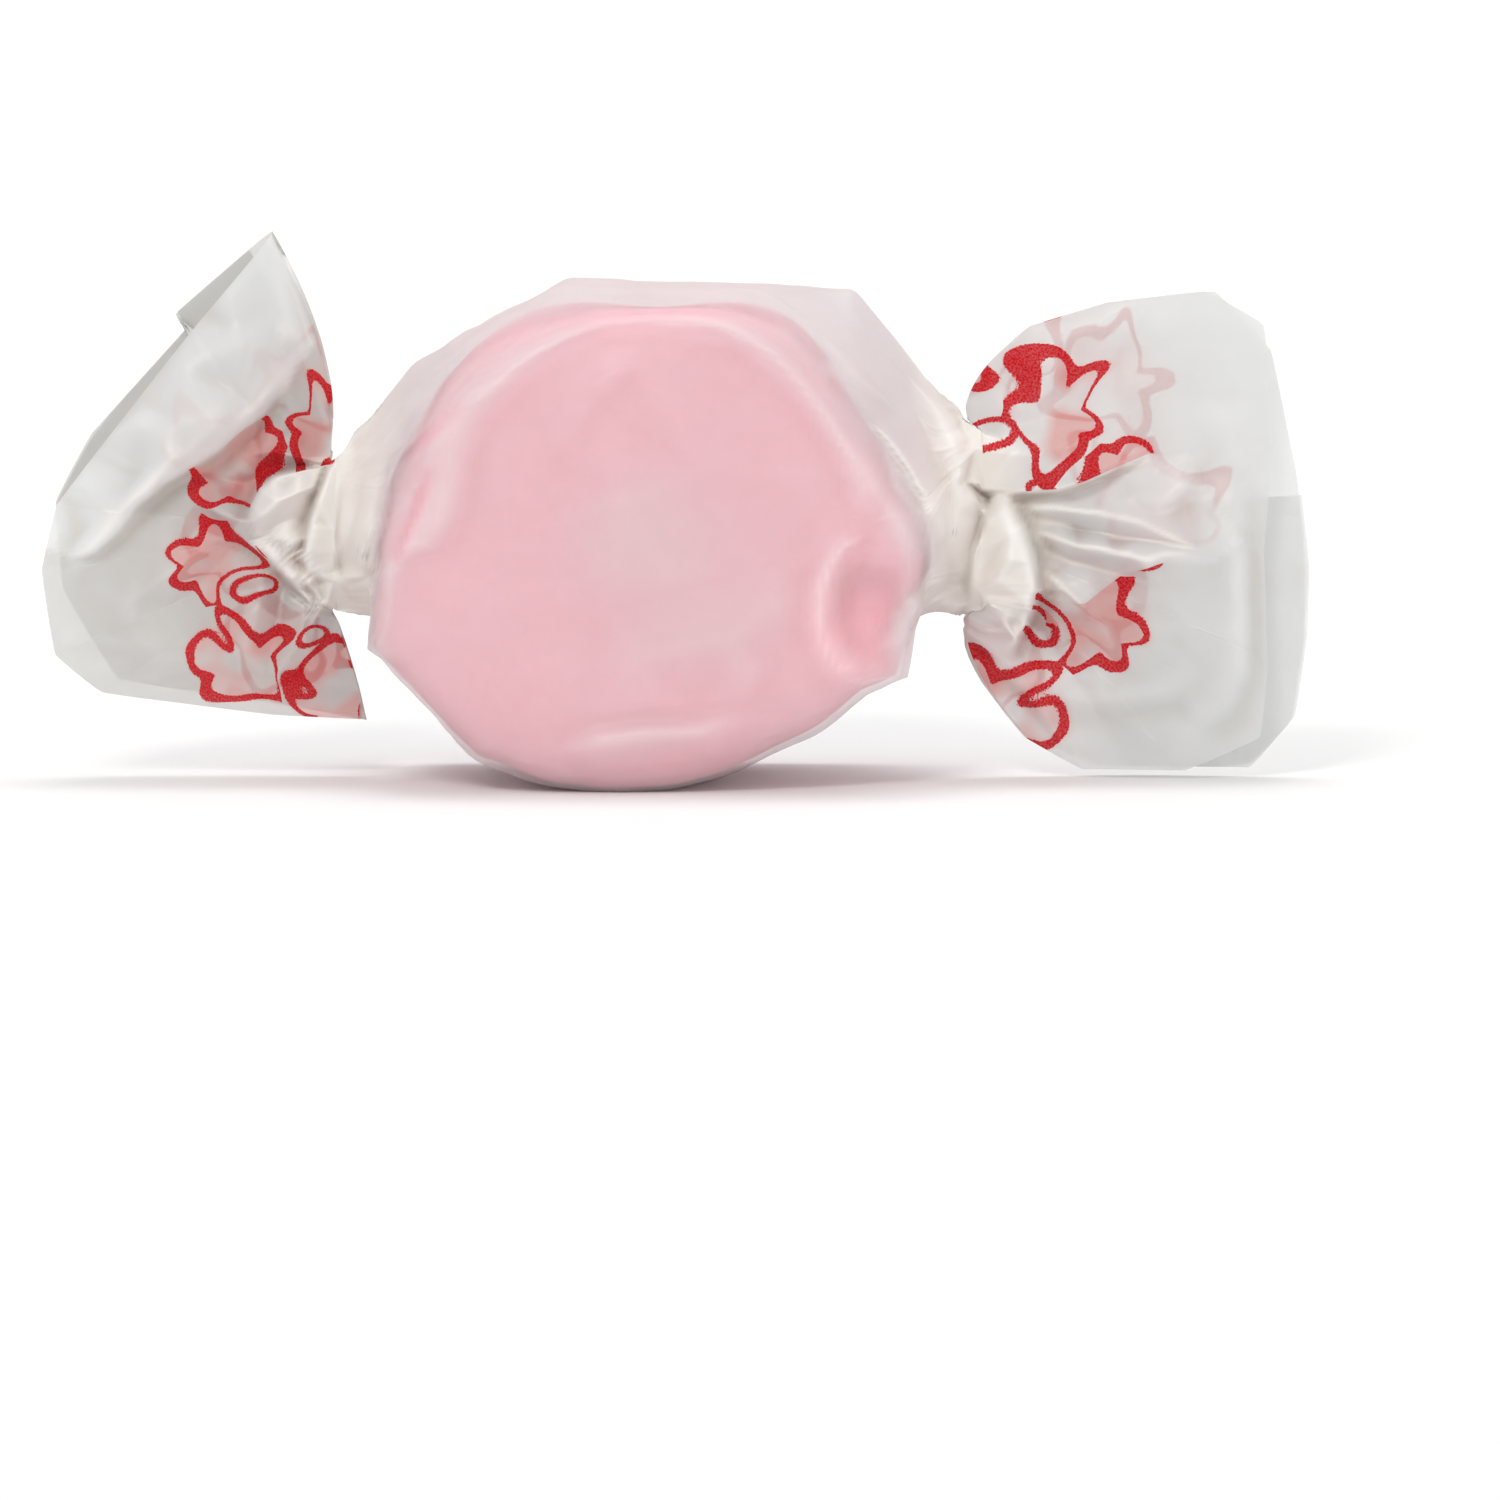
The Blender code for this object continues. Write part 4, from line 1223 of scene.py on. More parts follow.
    def reaches(self, candy: bpy.types.Object) -> tuple[np.ndarray, np.ndarray]:
        """How far the taut paper stands from the twist axis.

        Args:
            candy: the drum that the paper is laid over, on its own axes.

        Returns:
            The places along X, and a table of reaches by place and by angle.
        """
        tree = surface_tree(candy)
        places = np.linspace(LEFT_FAN.neck_x, RIGHT_FAN.neck_x, self.reach_rings)
        angles = np.radians(np.arange(0.0, 360.0, self.reach_step))
        across = np.linspace(0.0, 1.0, self.reach_rings)[:, None]
        rings = [self.neck_ring(fan, np.degrees(angles)) - self.clearance for fan in (LEFT_FAN, RIGHT_FAN)]
        table = rings[0] * (1 - across) + rings[1] * across
        for column, angle in enumerate(angles):
            outward = Vector((0.0, -math.cos(angle), math.sin(angle)))
            for row, x in enumerate(places[1:-1], start=1):
                hit = tree.ray_cast(Vector((x, 0.0, self.axis_height(x))), outward)
                if hit[0] is not None:
                    table[row, column] = max(table[row, column], hit[3])
            # Above the twist the paper is pulled straight; below it, it hugs the candy's sides
            snug = np.convolve(np.pad(table[:, column], 2, mode="edge"), (0.1, 0.2, 0.4, 0.2, 0.1), mode="valid")
            low = smooth_step((-math.sin(angle) - 0.1) / 0.5) * self.hug
            table[:, column] = self.taut_row(places, table[:, column]) * (1 - low) + snug * low
        ridge_x, ridge_z = (np.array(row) * MM for row in zip(*self.ridge))
        ridge_reach = np.interp(places, ridge_x, ridge_z, left=0.0, right=0.0) - self.axis_height(places)
        top = int(round(self.ridge_angle / self.reach_step))
        table[:, top] = np.maximum(table[:, top], ridge_reach)
        for row in range(1, len(places) - 1):
            table[row] = self.taut_round(angles, table[row])
        return places, np.column_stack((table, table[:, 0])) + self.clearance

    def look_up(self, places: np.ndarray, table: np.ndarray, x: np.ndarray, angle: np.ndarray) -> np.ndarray:
        """The table's value at any place and angle.

        Args:
            places: where the table's rows stand along X.
            table: reaches by place and angle.
            x: places along X.
            angle: angles in degrees.

        Returns:
            The reaches, by straight interpolation.
        """
        row = np.interp(x, places, np.arange(len(places)))
        column = (angle % 360.0) / self.reach_step
        i = np.minimum(row.astype(int), len(places) - 2)
        j = np.minimum(column.astype(int), table.shape[1] - 2)
        p, q = row - i, column - j
        low = table[i, j] * (1 - q) + table[i, j + 1] * q
        high = table[i + 1, j] * (1 - q) + table[i + 1, j + 1] * q
        return low * (1 - p) + high * p

    def lap(self, turned: np.ndarray) -> np.ndarray:
        """How far the outer end of the sheet rides over the inner end."""
        return self.lap_lift * smooth_step((turned - (self.inner_edge + 360.0 - self.lap_ramp)) / self.lap_ramp)

    def body_points(self, share: np.ndarray, turned: np.ndarray, reaches: tuple) -> np.ndarray:
        """Points of the stretch over the candy.

        Args:
            share: 0 at the left neck to 1 at the right one, for each row.
            turned: degrees turned round the candy, for each column.
            reaches: the places and table of reaches.

        Returns:
            Points by row and column.
        """
        even = 2 * share - 1
        crowded = even * (1 + self.crowding - self.crowding * even * even)
        x = LEFT_FAN.neck_x + (RIGHT_FAN.neck_x - LEFT_FAN.neck_x) * (crowded + 1) / 2
        into_left = smooth_step(1 - (x - LEFT_FAN.neck_x) / self.twist_length)
        into_right = smooth_step(1 - (RIGHT_FAN.neck_x - x) / self.twist_length)
        x, turned = np.broadcast_arrays(x[:, None], turned[None, :])
        angle = turned + 0.5 * (LEFT_FAN.twist * into_left + RIGHT_FAN.twist * into_right)[:, None]
        for fan, into in ((LEFT_FAN, into_left), (RIGHT_FAN, into_right)):
            angle = angle + (self.spread(fan, angle) - angle) * into[:, None]
        reach = self.look_up(*reaches, x, angle) + self.lap(turned)
        radians = np.radians(angle)
        return np.stack((x, -reach * np.cos(radians), self.axis_height(x) + reach * np.sin(radians)), axis=-1)

    def fan_stations(self, fan: Fan, outward: np.ndarray, turned: np.ndarray) -> tuple[np.ndarray, np.ndarray]:
        """Where each point of a fan lies in the twist and round the cut edge.

        Args:
            fan: the fan.
            outward: 0 at the neck to 1 at the cut edge, for each row.
            turned: degrees turned round the candy, for each column.

        Returns:
            The angle in degrees and the place round the cut edge from 0 to 1, by row and column.
        """
        unwound = 0.5 + 0.5 * smooth_step(outward / self.unwind_share)
        angle = turned[None, :] + fan.twist * unwound[:, None]
        from_top = (90.0 - angle) % 360.0
        bottom_place = fan.places()[len(fan.front) - 1]
        return angle, np.interp(from_top, [0.0, 180.0, 360.0], [0.0, bottom_place, 1.0])

    def fan_points(self, fan: Fan, outward: np.ndarray, turned: np.ndarray) -> np.ndarray:
        """Points of one fan.

        Args:
            fan: the fan.
            outward: 0 at the neck to 1 at the cut edge, for each row.
            turned: degrees turned round the candy, for each column.

        Returns:
            Points by row and column.
        """
        angle, edge_place = self.fan_stations(fan, outward, turned)
        folds, places = fan.rows(), fan.places()
        ends = along_loop(folds, np.interp(edge_place, places, np.arange(len(places))), self.roundness)
        ends[..., :3] *= 1 + self.slip * smooth_step((self.inner_edge + 55 - turned) / 12)[None, :, None]
        out, up, back, bow_out, bow_up = np.moveaxis(ends, -1, 0)
        side = fan.side.value
        reach = outward[:, None, None]
        target = np.stack((side * out, back, up), axis=-1)
        level = np.zeros_like(out)
        bow = np.stack((side * bow_out, level, bow_up), axis=-1)
        ahead = np.stack((side * np.linalg.norm(target, axis=-1), level, level), axis=-1)
        settle = self.bend_share * (1 - np.exp(-reach / self.bend_share)) * (1 - reach)
        path = reach * target + settle * (ahead - target)
        path += 4 * reach * (1 - reach) * bow
        angle = self.spread(fan, angle)
        ring = self.neck_ring(fan, angle) * ((1 - outward) ** self.round_fade)[:, None] + self.lap(turned)[None, :]
        radians = np.radians(angle)
        start = np.stack(
            (np.full_like(ring, fan.neck_x), -ring * np.cos(radians), fan.neck_z + ring * np.sin(radians)),
            axis=-1,
        )
        return start + path

    def sheet_normals(self, points: np.ndarray) -> np.ndarray:
        """The outward normal at each point of the sheet."""
        along = np.gradient(points, axis=0)
        across = np.gradient(points, axis=1)
        normal = np.cross(along, across)
        return normal / np.maximum(np.linalg.norm(normal, axis=-1, keepdims=True), 1e-12)

    def gathers(self, turned: np.ndarray, from_neck: np.ndarray, chance: np.random.Generator) -> np.ndarray:
        """The pleats that run out of a neck: uneven sharp crests in several sizes.

        Args:
            turned: degrees turned round the candy, for each column.
            from_neck: the distance from the neck, for each row.
            chance: the source of random draws.

        Returns:
            The rise of the paper, by row and column.
        """
        rise = np.zeros((len(from_neck), len(turned)))
        for crests, height, carry in self.pleats:
            count = 2 * int(crests * self.wrap_turn / 360) + 1
            knots = np.cumsum(chance.uniform(0.5, 1.5, count))
            knots = self.inner_edge + self.wrap_turn * (knots - knots[0]) / (knots[-1] - knots[0])
            tops = np.where(np.arange(count) % 2 == 0, 1.0, -0.8) * chance.uniform(0.4, 1.0, count)
            carries = carry * MM * chance.uniform(0.5, 1.7, count)
            for row, distance in enumerate(from_neck):
                heights = tops * np.exp(-((distance / carries) ** 1.5))
                rise[row] += height * MM * np.interp(turned, knots, heights)
        return rise

    def crumple(self, rows: np.ndarray, columns: np.ndarray, facet: float, chance: np.random.Generator) -> np.ndarray:
        """Flat facets between sharp creases, as in paper that has been crushed a little.

        Args:
            rows: the place of each row along the flat sheet.
            columns: the place of each column across it.
            facet: the usual width of a facet.
            chance: the source of random draws.

        Returns:
            Heights from -1 to 1, by row and column.
        """
        low = np.array([rows.min(), columns.min()]) - 2 * facet
        high = np.array([rows.max(), columns.max()]) + 2 * facet
        count = int(np.prod((high - low) / facet) * 1.3)
        spots = chance.uniform(low, high, (count, 2)) / MM
        corners, _, faces, *_ = delaunay_2d_cdt([Vector(spot) for spot in spots], [], [], 0, 1e-5)
        heights = chance.uniform(-1.0, 1.0, len(corners))
        tree = BVHTree.FromPolygons([(c.x, c.y, h) for c, h in zip(corners, heights)], faces)
        field = [[height_on(tree, along, across, 2.0) or 0.0 for across in columns / MM] for along in rows / MM]
        return np.array(field)

    def facets(self, dents: tuple = ()) -> BVHTree:
        """The relief of the sheet's front: flat facets between the creases, over an (x, z) plane.

        Args:
            dents: further corners (x, z, rise) for the facets, in mm.

        Returns:
            A search tree over the facets, in mm, with the rise as the third coordinate.
        """
        corners, edges = [], []
        lines = [[(x, z, 0.0) for x, z in OUTLINE + OUTLINE[:1]]]
        for crease in CREASES:
            lines.append(crease.line)
            if crease.drop:
                line = np.array(crease.line)
                step = np.gradient(line[:, :2], axis=0)
                step /= np.linalg.norm(step, axis=1, keepdims=True)
                left = np.column_stack((-step[:, 1], step[:, 0]))
                line[:, :2] -= crease.raised.value * self.step_width * left
                line[:, 2] -= crease.drop * (1 - np.abs(np.linspace(-1.0, 1.0, len(line))) ** 4)
                lines.append(line)
        for line in lines:
            edges += [(len(corners) + i, len(corners) + i + 1) for i in range(len(line) - 1)]
            corners += [tuple(spot) for spot in line]
        corners += list(dents)
        spots, _, faces, origins, *_ = delaunay_2d_cdt([Vector(c[:2]) for c in corners], edges, [], 0, 1e-3)
        raised = []
        for spot, origin in zip(spots, origins):
            if origin:
                raised.append(corners[origin[0]][2])
                continue
            # Two creases cross here
            rises = []
            for start, end in edges:
                low, high = Vector(corners[start][:2]), Vector(corners[end][:2])
                span = high - low
                share = min(max((spot - low).dot(span) / max(span.length_squared, 1e-9), 0.0), 1.0)
                if (low + span * share - spot).length < 0.01:
                    rises.append(corners[start][2] * (1 - share) + corners[end][2] * share)
            raised.append(max(rises, default=0.0))
        return BVHTree.FromPolygons([(s.x, s.y, r) for s, r in zip(spots, raised)], faces)

    def crushed(self, chance: np.random.Generator) -> tuple:
        """Further corners for the facets, where the paper is crushed a little between its creases.

        Args:
            chance: the source of random draws.

        Returns:
            Corners (x, z, rise), in mm.
        """
        relief = self.facets()
        outline = np.array(OUTLINE)
        low, high = outline.min(axis=0), outline.max(axis=0)
        spots = chance.uniform(low, high, (int(np.prod((high - low) / self.crush_size)), 2))
        lines = np.concatenate([np.array(crease.line)[:, :2] for crease in CREASES])
        stacked = self.depth_inside(STACKED, spots * MM) > 0
        clinging = self.depth_inside(CLINGING, spots * MM) > 0
        kept = []
        for spot, many, taut in zip(spots, stacked, clinging):
            others = np.array([k[:2] for k in kept] or [(99.0, 99.0)])
            if np.hypot(*(lines - spot).T).min() < 0.4 or np.hypot(*(others - spot).T).min() < 0.5 * self.crush_size:
                continue
            level = height_on(relief, *spot)
            if level is not None and not taut:
                height = self.crush_stacked if many else self.crush_height
                kept.append((spot[0], spot[1], level + height * chance.uniform(-1.0, 1.0)))
        return tuple(kept)

    def crease(
        self, points: np.ndarray, facing: np.ndarray, from_neck: np.ndarray, chance: np.random.Generator
    ) -> None:
        """Folds the creases into the sheet's front, straight towards the camera. In the twists the
        back goes with the front, and near them the front isn't pushed in against the back.

        Args:
            points: the sheet's points, by row and column, which are moved.
            facing: 1 where the paper faces the front, -1 where it faces the back.
            from_neck: the distance from the neck, for each row.
            chance: the source of random draws.
        """
        relief = self.facets(self.crushed(chance))
        pinched = np.exp(-((from_neck / self.pinch) ** 2))[:, None]
        shares = np.maximum(smooth_step((facing - 0.1) / 0.25), pinched)
        shares[shares < 0.02] = 0.0
        rise = np.zeros(facing.shape)
        for i, j in np.argwhere(shares > 0):
            x, _, z = points[i, j] / MM
            rise[i, j] = (height_on(relief, x, z) or 0.0) * MM
        rise = softened(np.maximum(rise, -self.room * (0.5 * MM + from_neck)[:, None]))
        points[..., 1] -= self.relief * rise * shares

    def pressed(self, points: np.ndarray, facing: np.ndarray) -> np.ndarray:
        """How far the paper is pressed clear on the candy along its folds, from 0 to 1.

        Args:
            points: the sheet's points, by row and column.
            facing: 1 where the paper faces the front, -1 where it faces the back.

        Returns:
            The share at each point.
        """
        spots = points[..., [0, 2]]
        clear = np.zeros(facing.shape)
        for line in PRESSED:
            corners = np.array(line) * MM
            for start, end in zip(corners[:-1], corners[1:]):
                clear = np.maximum(clear, hump(away_from_line(spots, start, end) / self.pressed_width))
        return clear * (facing > 0.05)

    def sunk(self, rise: np.ndarray) -> np.ndarray:
        """How far the paper lies below (1) or above (-1) the paper round it, by row and column."""
        around = rise
        for axis in (0, 1):
            pad = [(self.sink_reach, self.sink_reach) if side == axis else (0, 0) for side in (0, 1)]
            padded = np.pad(around, pad, mode="edge")
            steps = range(2 * self.sink_reach + 1)
            around = sum(np.take(padded, np.arange(rise.shape[axis]) + step, axis=axis) for step in steps)
            around = around / len(steps)
        return np.clip((around - rise) / self.sink_depth, -1.0, 1.0)

    def bent(self, points: np.ndarray) -> np.ndarray:
        """How far the wax is cracked by sharp bends, from 0 to 1, by row and column."""
        normals = self.sheet_normals(points)
        sharpest = np.zeros(points.shape[:-1])
        for axis in (0, 1):
            step = np.linalg.norm(np.gradient(points, axis=axis), axis=-1)
            turn = np.linalg.norm(np.gradient(normals, axis=axis), axis=-1)
            sharpest = np.maximum(sharpest, turn / np.maximum(step, 0.05 * MM))
        return smooth_step((sharpest * MM - self.bend_start) / self.bend_range)

    def column_turns(self) -> np.ndarray:
        """Degrees turned round the candy for each column, closest together in front."""
        start, end = self.inner_edge, self.inner_edge + self.wrap_turn
        front_start, front_end = self.front_turned
        back = (1 - self.front_share) / (self.wrap_turn - front_end + front_start)
        at_front = (front_start - start) * back
        shares = (0.0, at_front, at_front + self.front_share, 1.0)
        columns = np.arange(self.columns + 1) / self.columns
        return np.interp(columns, shares, (start, front_start, front_end, end))

    def calm(self, points: np.ndarray) -> np.ndarray:
        """How much of the gathers and crushed facets is left, less in each fan's stretched corner, by
        row and column."""
        calm = np.ones(points.shape[:-1])
        right_start = self.fan_rows + self.body_rows + 1
        for fan, rows in ((LEFT_FAN, slice(0, self.fan_rows)), (RIGHT_FAN, slice(right_start, None))):
            out = fan.side.value * (points[rows][..., 0] - fan.neck_x)
            direction = np.degrees(np.arctan2(points[rows][..., 2] - fan.neck_z, out))
            low, high, least = fan.calm
            within = smooth_step((direction - low) / 8.0) * smooth_step((high - direction) / 8.0)
            calm[rows] = 1 - (1 - least) * within
        return calm

    def shape(self, candy: bpy.types.Object, form: bpy.types.Object) -> tuple[np.ndarray, ...]:
        """Works out the whole sheet.

        Args:
            candy: the finished candy, on its own axes.
            form: the even drum that the paper is laid over.

        Returns:
            Points, clearness, how layered the paper is with painted shade on the left fan, where the print
            shows, how far the paper is sunk between folds, which paints shade and highlights, and the print's
            flat coordinates, each by row and column.
        """
        turned = self.column_turns()
        fan_out = (np.arange(self.fan_rows + 1) / self.fan_rows) ** self.fan_crowding
        left = self.fan_points(LEFT_FAN, fan_out[::-1], turned)
        body = self.body_points(np.arange(self.body_rows + 1) / self.body_rows, turned, self.reaches(form))
        right = self.fan_points(RIGHT_FAN, fan_out, turned)
        smooth = np.concatenate((left[:-1], body, right[1:]))
        normals = self.sheet_normals(smooth)
        facing = -normals[..., 1]

        # The place of each row along the flat sheet
        past_left = LEFT_FAN.neck_x - fan_out[:0:-1] * self.fan_length
        past_right = RIGHT_FAN.neck_x + fan_out[1:] * self.fan_length
        flat_rows = np.concatenate((past_left, body[:, 0, 0], past_right))
        to_necks = [np.abs(flat_rows - fan.neck_x) for fan in (LEFT_FAN, RIGHT_FAN)]
        from_neck = np.minimum(*to_necks)
        on_body = (flat_rows > LEFT_FAN.neck_x) & (flat_rows < RIGHT_FAN.neck_x)

        chance = np.random.default_rng(self.seed)
        rise = self.rise(smooth, facing, turned, flat_rows, to_necks, on_body, chance)
        points = smooth + rise[..., None] * normals
        self.crease(points, facing, from_neck, chance)
        # How far the paper is sunk or raised; the paper's colour takes painted shade in the folds and a painted
        # highlight on the ridges from it
        sunk = self.sunk(((points - smooth) * normals).sum(axis=-1))
        cracked = self.bent(points) - self.pressed(points, facing)

        lowest = np.where(on_body, 0.0, self.fan_foot)[:, None]
        points[..., 2] = np.maximum(points[..., 2], lowest)
        body = points[on_body]
        points[on_body] = self.corners.pull(body.reshape(-1, 3)).reshape(body.shape)
        gap = self.settle_on(surface_tree(candy), points, on_body, facing)
        points[..., 2] = np.maximum(points[..., 2], 0.0)

        stacked = self.share_inside(STACKED, points) * (facing > 0.05)
        clear = self.clearness(points, gap, facing, from_neck)
        clear = np.where(on_body[:, None], clear, clear * self.fan_clear)
        clear = np.minimum(clear * (1 - self.crack_white * cracked), self.most_clear)
        clear *= 1 - self.stack_white * stacked
        # The left fan counts as one layer, which paints shade on its lower part; the right fan and the body count as
        # layered
        alone = smooth_step(from_neck / (3 * MM) - 0.3)[:, None]
        base = np.where((flat_rows < 0)[:, None], *self.fan_layers_and_shade)
        layers_and_shade = np.maximum(self.body_layers + (base - self.body_layers) * alone * ~on_body[:, None], stacked)
        flat, printed = self.print_places(points, facing)
        return points, clear, layers_and_shade, printed, sunk, flat

    def rise(
        self,
        points: np.ndarray,
        facing: np.ndarray,
        turned: np.ndarray,
        flat_rows: np.ndarray,
        to_necks: list[np.ndarray],
        on_body: np.ndarray,
        chance: np.random.Generator,
    ) -> np.ndarray:
        """How far the gathers and crushed facets stand out of the smooth sheet: most near the necks,
        least where the paper is stretched.

        Args:
            points: the smooth sheet's points.
            facing: 1 where the paper faces the front, -1 where it faces the back.
            turned: degrees turned round the candy, for each column.
            flat_rows: the place of each row along the flat sheet.
            to_necks: the distance from the left and from the right neck, for each row.
            on_body: whether each row lies over the candy.
            chance: the source of random draws.

        Returns:
            The rise, by row and column.
        """
        from_neck = np.minimum(*to_necks)
        columns = self.sheet_width * (turned - turned[0]) / self.wrap_turn
        face = on_body[:, None] * smooth_step((np.abs(facing) - 0.80) / 0.15)
        lively = self.calm(points) * (1 - self.face_calm * face)
        near = np.exp(-((from_neck / (7.0 * MM)) ** 2))[:, None]

        # Over the candy the pleats are pulled out sooner than in the fans
        pulled = np.where(on_body, 2.6, 1.0)
        rise = self.gathers(turned, to_necks[0] * pulled, chance) * (flat_rows < 0)[:, None] * lively
        rise += self.gathers(turned, to_necks[1] * pulled, chance) * (flat_rows > 0)[:, None] * lively
        rise *= 1 - self.front_calm * smooth_step(facing / 0.4)
        lively *= 1 - 0.75 * near * smooth_step(facing / 0.4)
        for facet, height, more in self.facet_sizes:
            rise += self.crumple(flat_rows, columns, facet, chance) * (height + more * near) * MM * lively
        return rise * smooth_step(0.2 + from_neck / np.where(on_body, 2.2 * MM, 2.4 * MM))[:, None]

    def depth_inside(self, areas: tuple, spots: np.ndarray) -> np.ndarray:
        """How deep places lie inside any of some outlines.

        Args:
            areas: outlines through points (x, z), in mm.
            spots: places (x, z), in metres.

        Returns:
            The distance from the outline in metres, below 0 outside.
        """
        deepest = np.full(spots.shape[:-1], -1.0)
        for area in areas:
            corners = np.array(area) * MM
            inside = np.zeros(spots.shape[:-1], bool)
            nearest = np.full(spots.shape[:-1], 1.0)
            for start, end in zip(corners, np.roll(corners, -1, axis=0)):
                step = end - start
                between = (start[1] > spots[..., 1]) != (end[1] > spots[..., 1])
                rise = step[1] if step[1] != 0 else 1e-12
                inside ^= between & (spots[..., 0] < start[0] + (spots[..., 1] - start[1]) * step[0] / rise)
                nearest = np.minimum(nearest, away_from_line(spots, start, end))
            deepest = np.maximum(deepest, np.where(inside, nearest, -nearest))
        return deepest

    def share_inside(self, areas: tuple, points: np.ndarray) -> np.ndarray:
        """1 inside some outlines and 0 outside, with a narrow step between, by row and column."""
        return np.clip(self.depth_inside(areas, points[..., [0, 2]]) / self.stack_edge + 0.5, 0.0, 1.0)

    def settle_on(
        self, tree: BVHTree, points: np.ndarray, on_body: np.ndarray, facing: np.ndarray
    ) -> np.ndarray:
        """Presses the paper into the candy's dent, keeps it clear of the candy and measures the gap.

        Args:
            tree: the search tree over the candy's faces.
            points: the sheet's points, which are moved.
            on_body: whether each row lies over the candy.
            facing: 1 where the paper faces the front, -1 where it faces the back.

        Returns:
            The gap between paper and candy, by row and column.
        """
        gap = np.full(points.shape[:-1], 10 * MM)
        dent = Candy()
        pressed_in = 1.3 * dent.dent_depth * hump((dent.from_dent(points[..., 0], points[..., 2]) / 1.1) ** 1.5)
        pressed_in *= smooth_step((facing - 0.45) / 0.4)
        backward = Vector((0.0, 1.0, 0.0))
        push = np.zeros(facing.shape)
        for i, j in np.argwhere((pressed_in > 0.01 * MM) & (points[..., 1] < -3 * MM) & on_body[:, None]):
            spot = Vector(points[i, j])
            hit = tree.ray_cast(spot - backward * 4 * MM, backward)[0]
            if hit is not None:
                push[i, j] = max(min(hit.y - self.clearance - spot.y, pressed_in[i, j]), 0.0)
        points[..., 1] += softened(push, self.press_passes)
        for i in np.flatnonzero(on_body):
            for j in range(points.shape[1]):
                spot = Vector(points[i, j])
                near, normal, _, _ = tree.find_nearest(spot)
                distance = (spot - near).dot(normal)
                room = self.clearance * (1.4 if pressed_in[i, j] > 0.1 * MM else 0.8)
                if distance < room:
                    spot = near + normal * room
                    distance = room
                points[i, j] = spot
                gap[i, j] = distance
        return gap

    def clearness(self, points: np.ndarray, gap: np.ndarray, facing: np.ndarray, from_neck: np.ndarray) -> np.ndarray:
        """The share of light that goes straight through: more where the paper clings to the candy's
        face and underside, less where it bends over the rim and least where it is gathered.

        Args:
            points: the sheet's points, by row and column.
            gap: the gap to the candy at each point.
            facing: 1 where the paper faces the front, -1 where it faces the back.
            from_neck: the distance from the neck, for each row.

        Returns:
            The share at each point.
        """
        touching = 1 - smooth_step((gap - 0.25 * MM) / (0.9 * MM))
        clinging = self.share_inside(CLINGING, points)
        touching *= np.where(facing > 0, clinging, 1.0)
        front = smooth_step((np.abs(facing) - 0.6) / 0.25)
        low = smooth_step((8.5 * MM - points[..., 2]) / (4 * MM))
        cling = touching * (0.7 + 0.3 * np.maximum(front, low))
        rim = touching * hump((np.abs(facing) - 0.6) / 0.18) * (1 - low)
        gathered = np.exp(-((from_neck / (3.2 * MM)) ** 2))[:, None] * (1 - 0.9 * touching)
        pressed = touching * hump(np.hypot(points[..., 0] - 8.9 * MM, points[..., 2] - 7.9 * MM) / (2.3 * MM))
        clear = 0.16 + 0.36 * cling - 0.04 * rim + 0.18 * pressed * (facing > 0)
        return clear * (1 - 0.8 * gathered)

    def print_places(self, points: np.ndarray, facing: np.ndarray) -> tuple[np.ndarray, np.ndarray]:
        """Flat coordinates for the print, and where it shows.

        Args:
            points: the sheet's points, by row and column.
            facing: 1 where the paper faces the front, -1 where it faces the back.

        Returns:
            Coordinates outward and up from the middle of each print ring in mm, and 1 where the
            sheet is printed, by row and column.
        """
        flat = np.zeros(facing.shape + (2,))
        printed = np.zeros(facing.shape)
        right_start = self.fan_rows + self.body_rows + 1
        for fan, blanks, rows in (
            (LEFT_FAN, LEFT_BLANKS, slice(0, self.fan_rows)),
            (RIGHT_FAN, RIGHT_BLANKS, slice(right_start, None)),
        ):
            part, front = points[rows], facing[rows]
            out = fan.side.value * (part[..., 0] - fan.neck_x) / MM
            up = (part[..., 2] - fan.neck_z) / MM
            turn = np.radians(fan.print_turn + np.where(front > 0, 0.0, self.back_print_turn))
            across, along = out * np.cos(turn) - up * np.sin(turn), out * np.sin(turn) + up * np.cos(turn)
            flat[rows] = fan.print_scale * np.stack((across, along), axis=-1)
            bare = np.clip(self.depth_inside(blanks, part[..., [0, 2]]) / (0.8 * MM) + 0.5, 0.0, 1.0)
            edge = np.sign(front) * np.roll(np.sign(front), 1, axis=1) < 0
            hidden = edge | np.roll(edge, -1, axis=1)
            printed[rows] = np.where(hidden, 0.0, 1.0 - bare * (front > 0.1))
        return flat, printed

    def build(self, candy: bpy.types.Object, form: bpy.types.Object) -> bpy.types.Object:
        """Models the sheet: a flat grid whose every point is moved to its place in the wrap.

        Args:
            candy: the finished candy, on its own axes.
            form: the even drum that the paper is laid over.

        Returns:
            The paper, on its own axes.
        """
        points, *fields, flat = self.shape(candy, form)
        bpy.ops.object.select_all(action="DESELECT")
        bpy.ops.mesh.primitive_grid_add(
            x_subdivisions=2 * self.fan_rows + self.body_rows, y_subdivisions=self.columns, size=2.0
        )
        paper = bpy.context.object
        paper.name = "waxed_wrapper"
        paper.data.name = "waxed_wrapper"
        corner = (read_points(paper.data)[:, :2] + 1) / 2
        row = np.rint(corner[:, 0] * (points.shape[0] - 1)).astype(int)
        column = np.rint(corner[:, 1] * (points.shape[1] - 1)).astype(int)
        write_points(paper.data, points[row, column])
        for name, values in zip(("clearness", "layers_and_shade", "printed", "sunk"), fields):
            attribute = paper.data.attributes.new(name, "FLOAT", "POINT")
            attribute.data.foreach_set("value", values[row, column].astype(np.float32))
        paper.data.uv_layers[0].name = "flat_sheet"
        corners = np.empty(len(paper.data.loops), int)
        paper.data.loops.foreach_get("vertex_index", corners)
        paper.data.uv_layers[0].data.foreach_set("uv", flat[row, column][corners].astype(np.float32).ravel())
        bpy.ops.object.shade_smooth()
        return paper

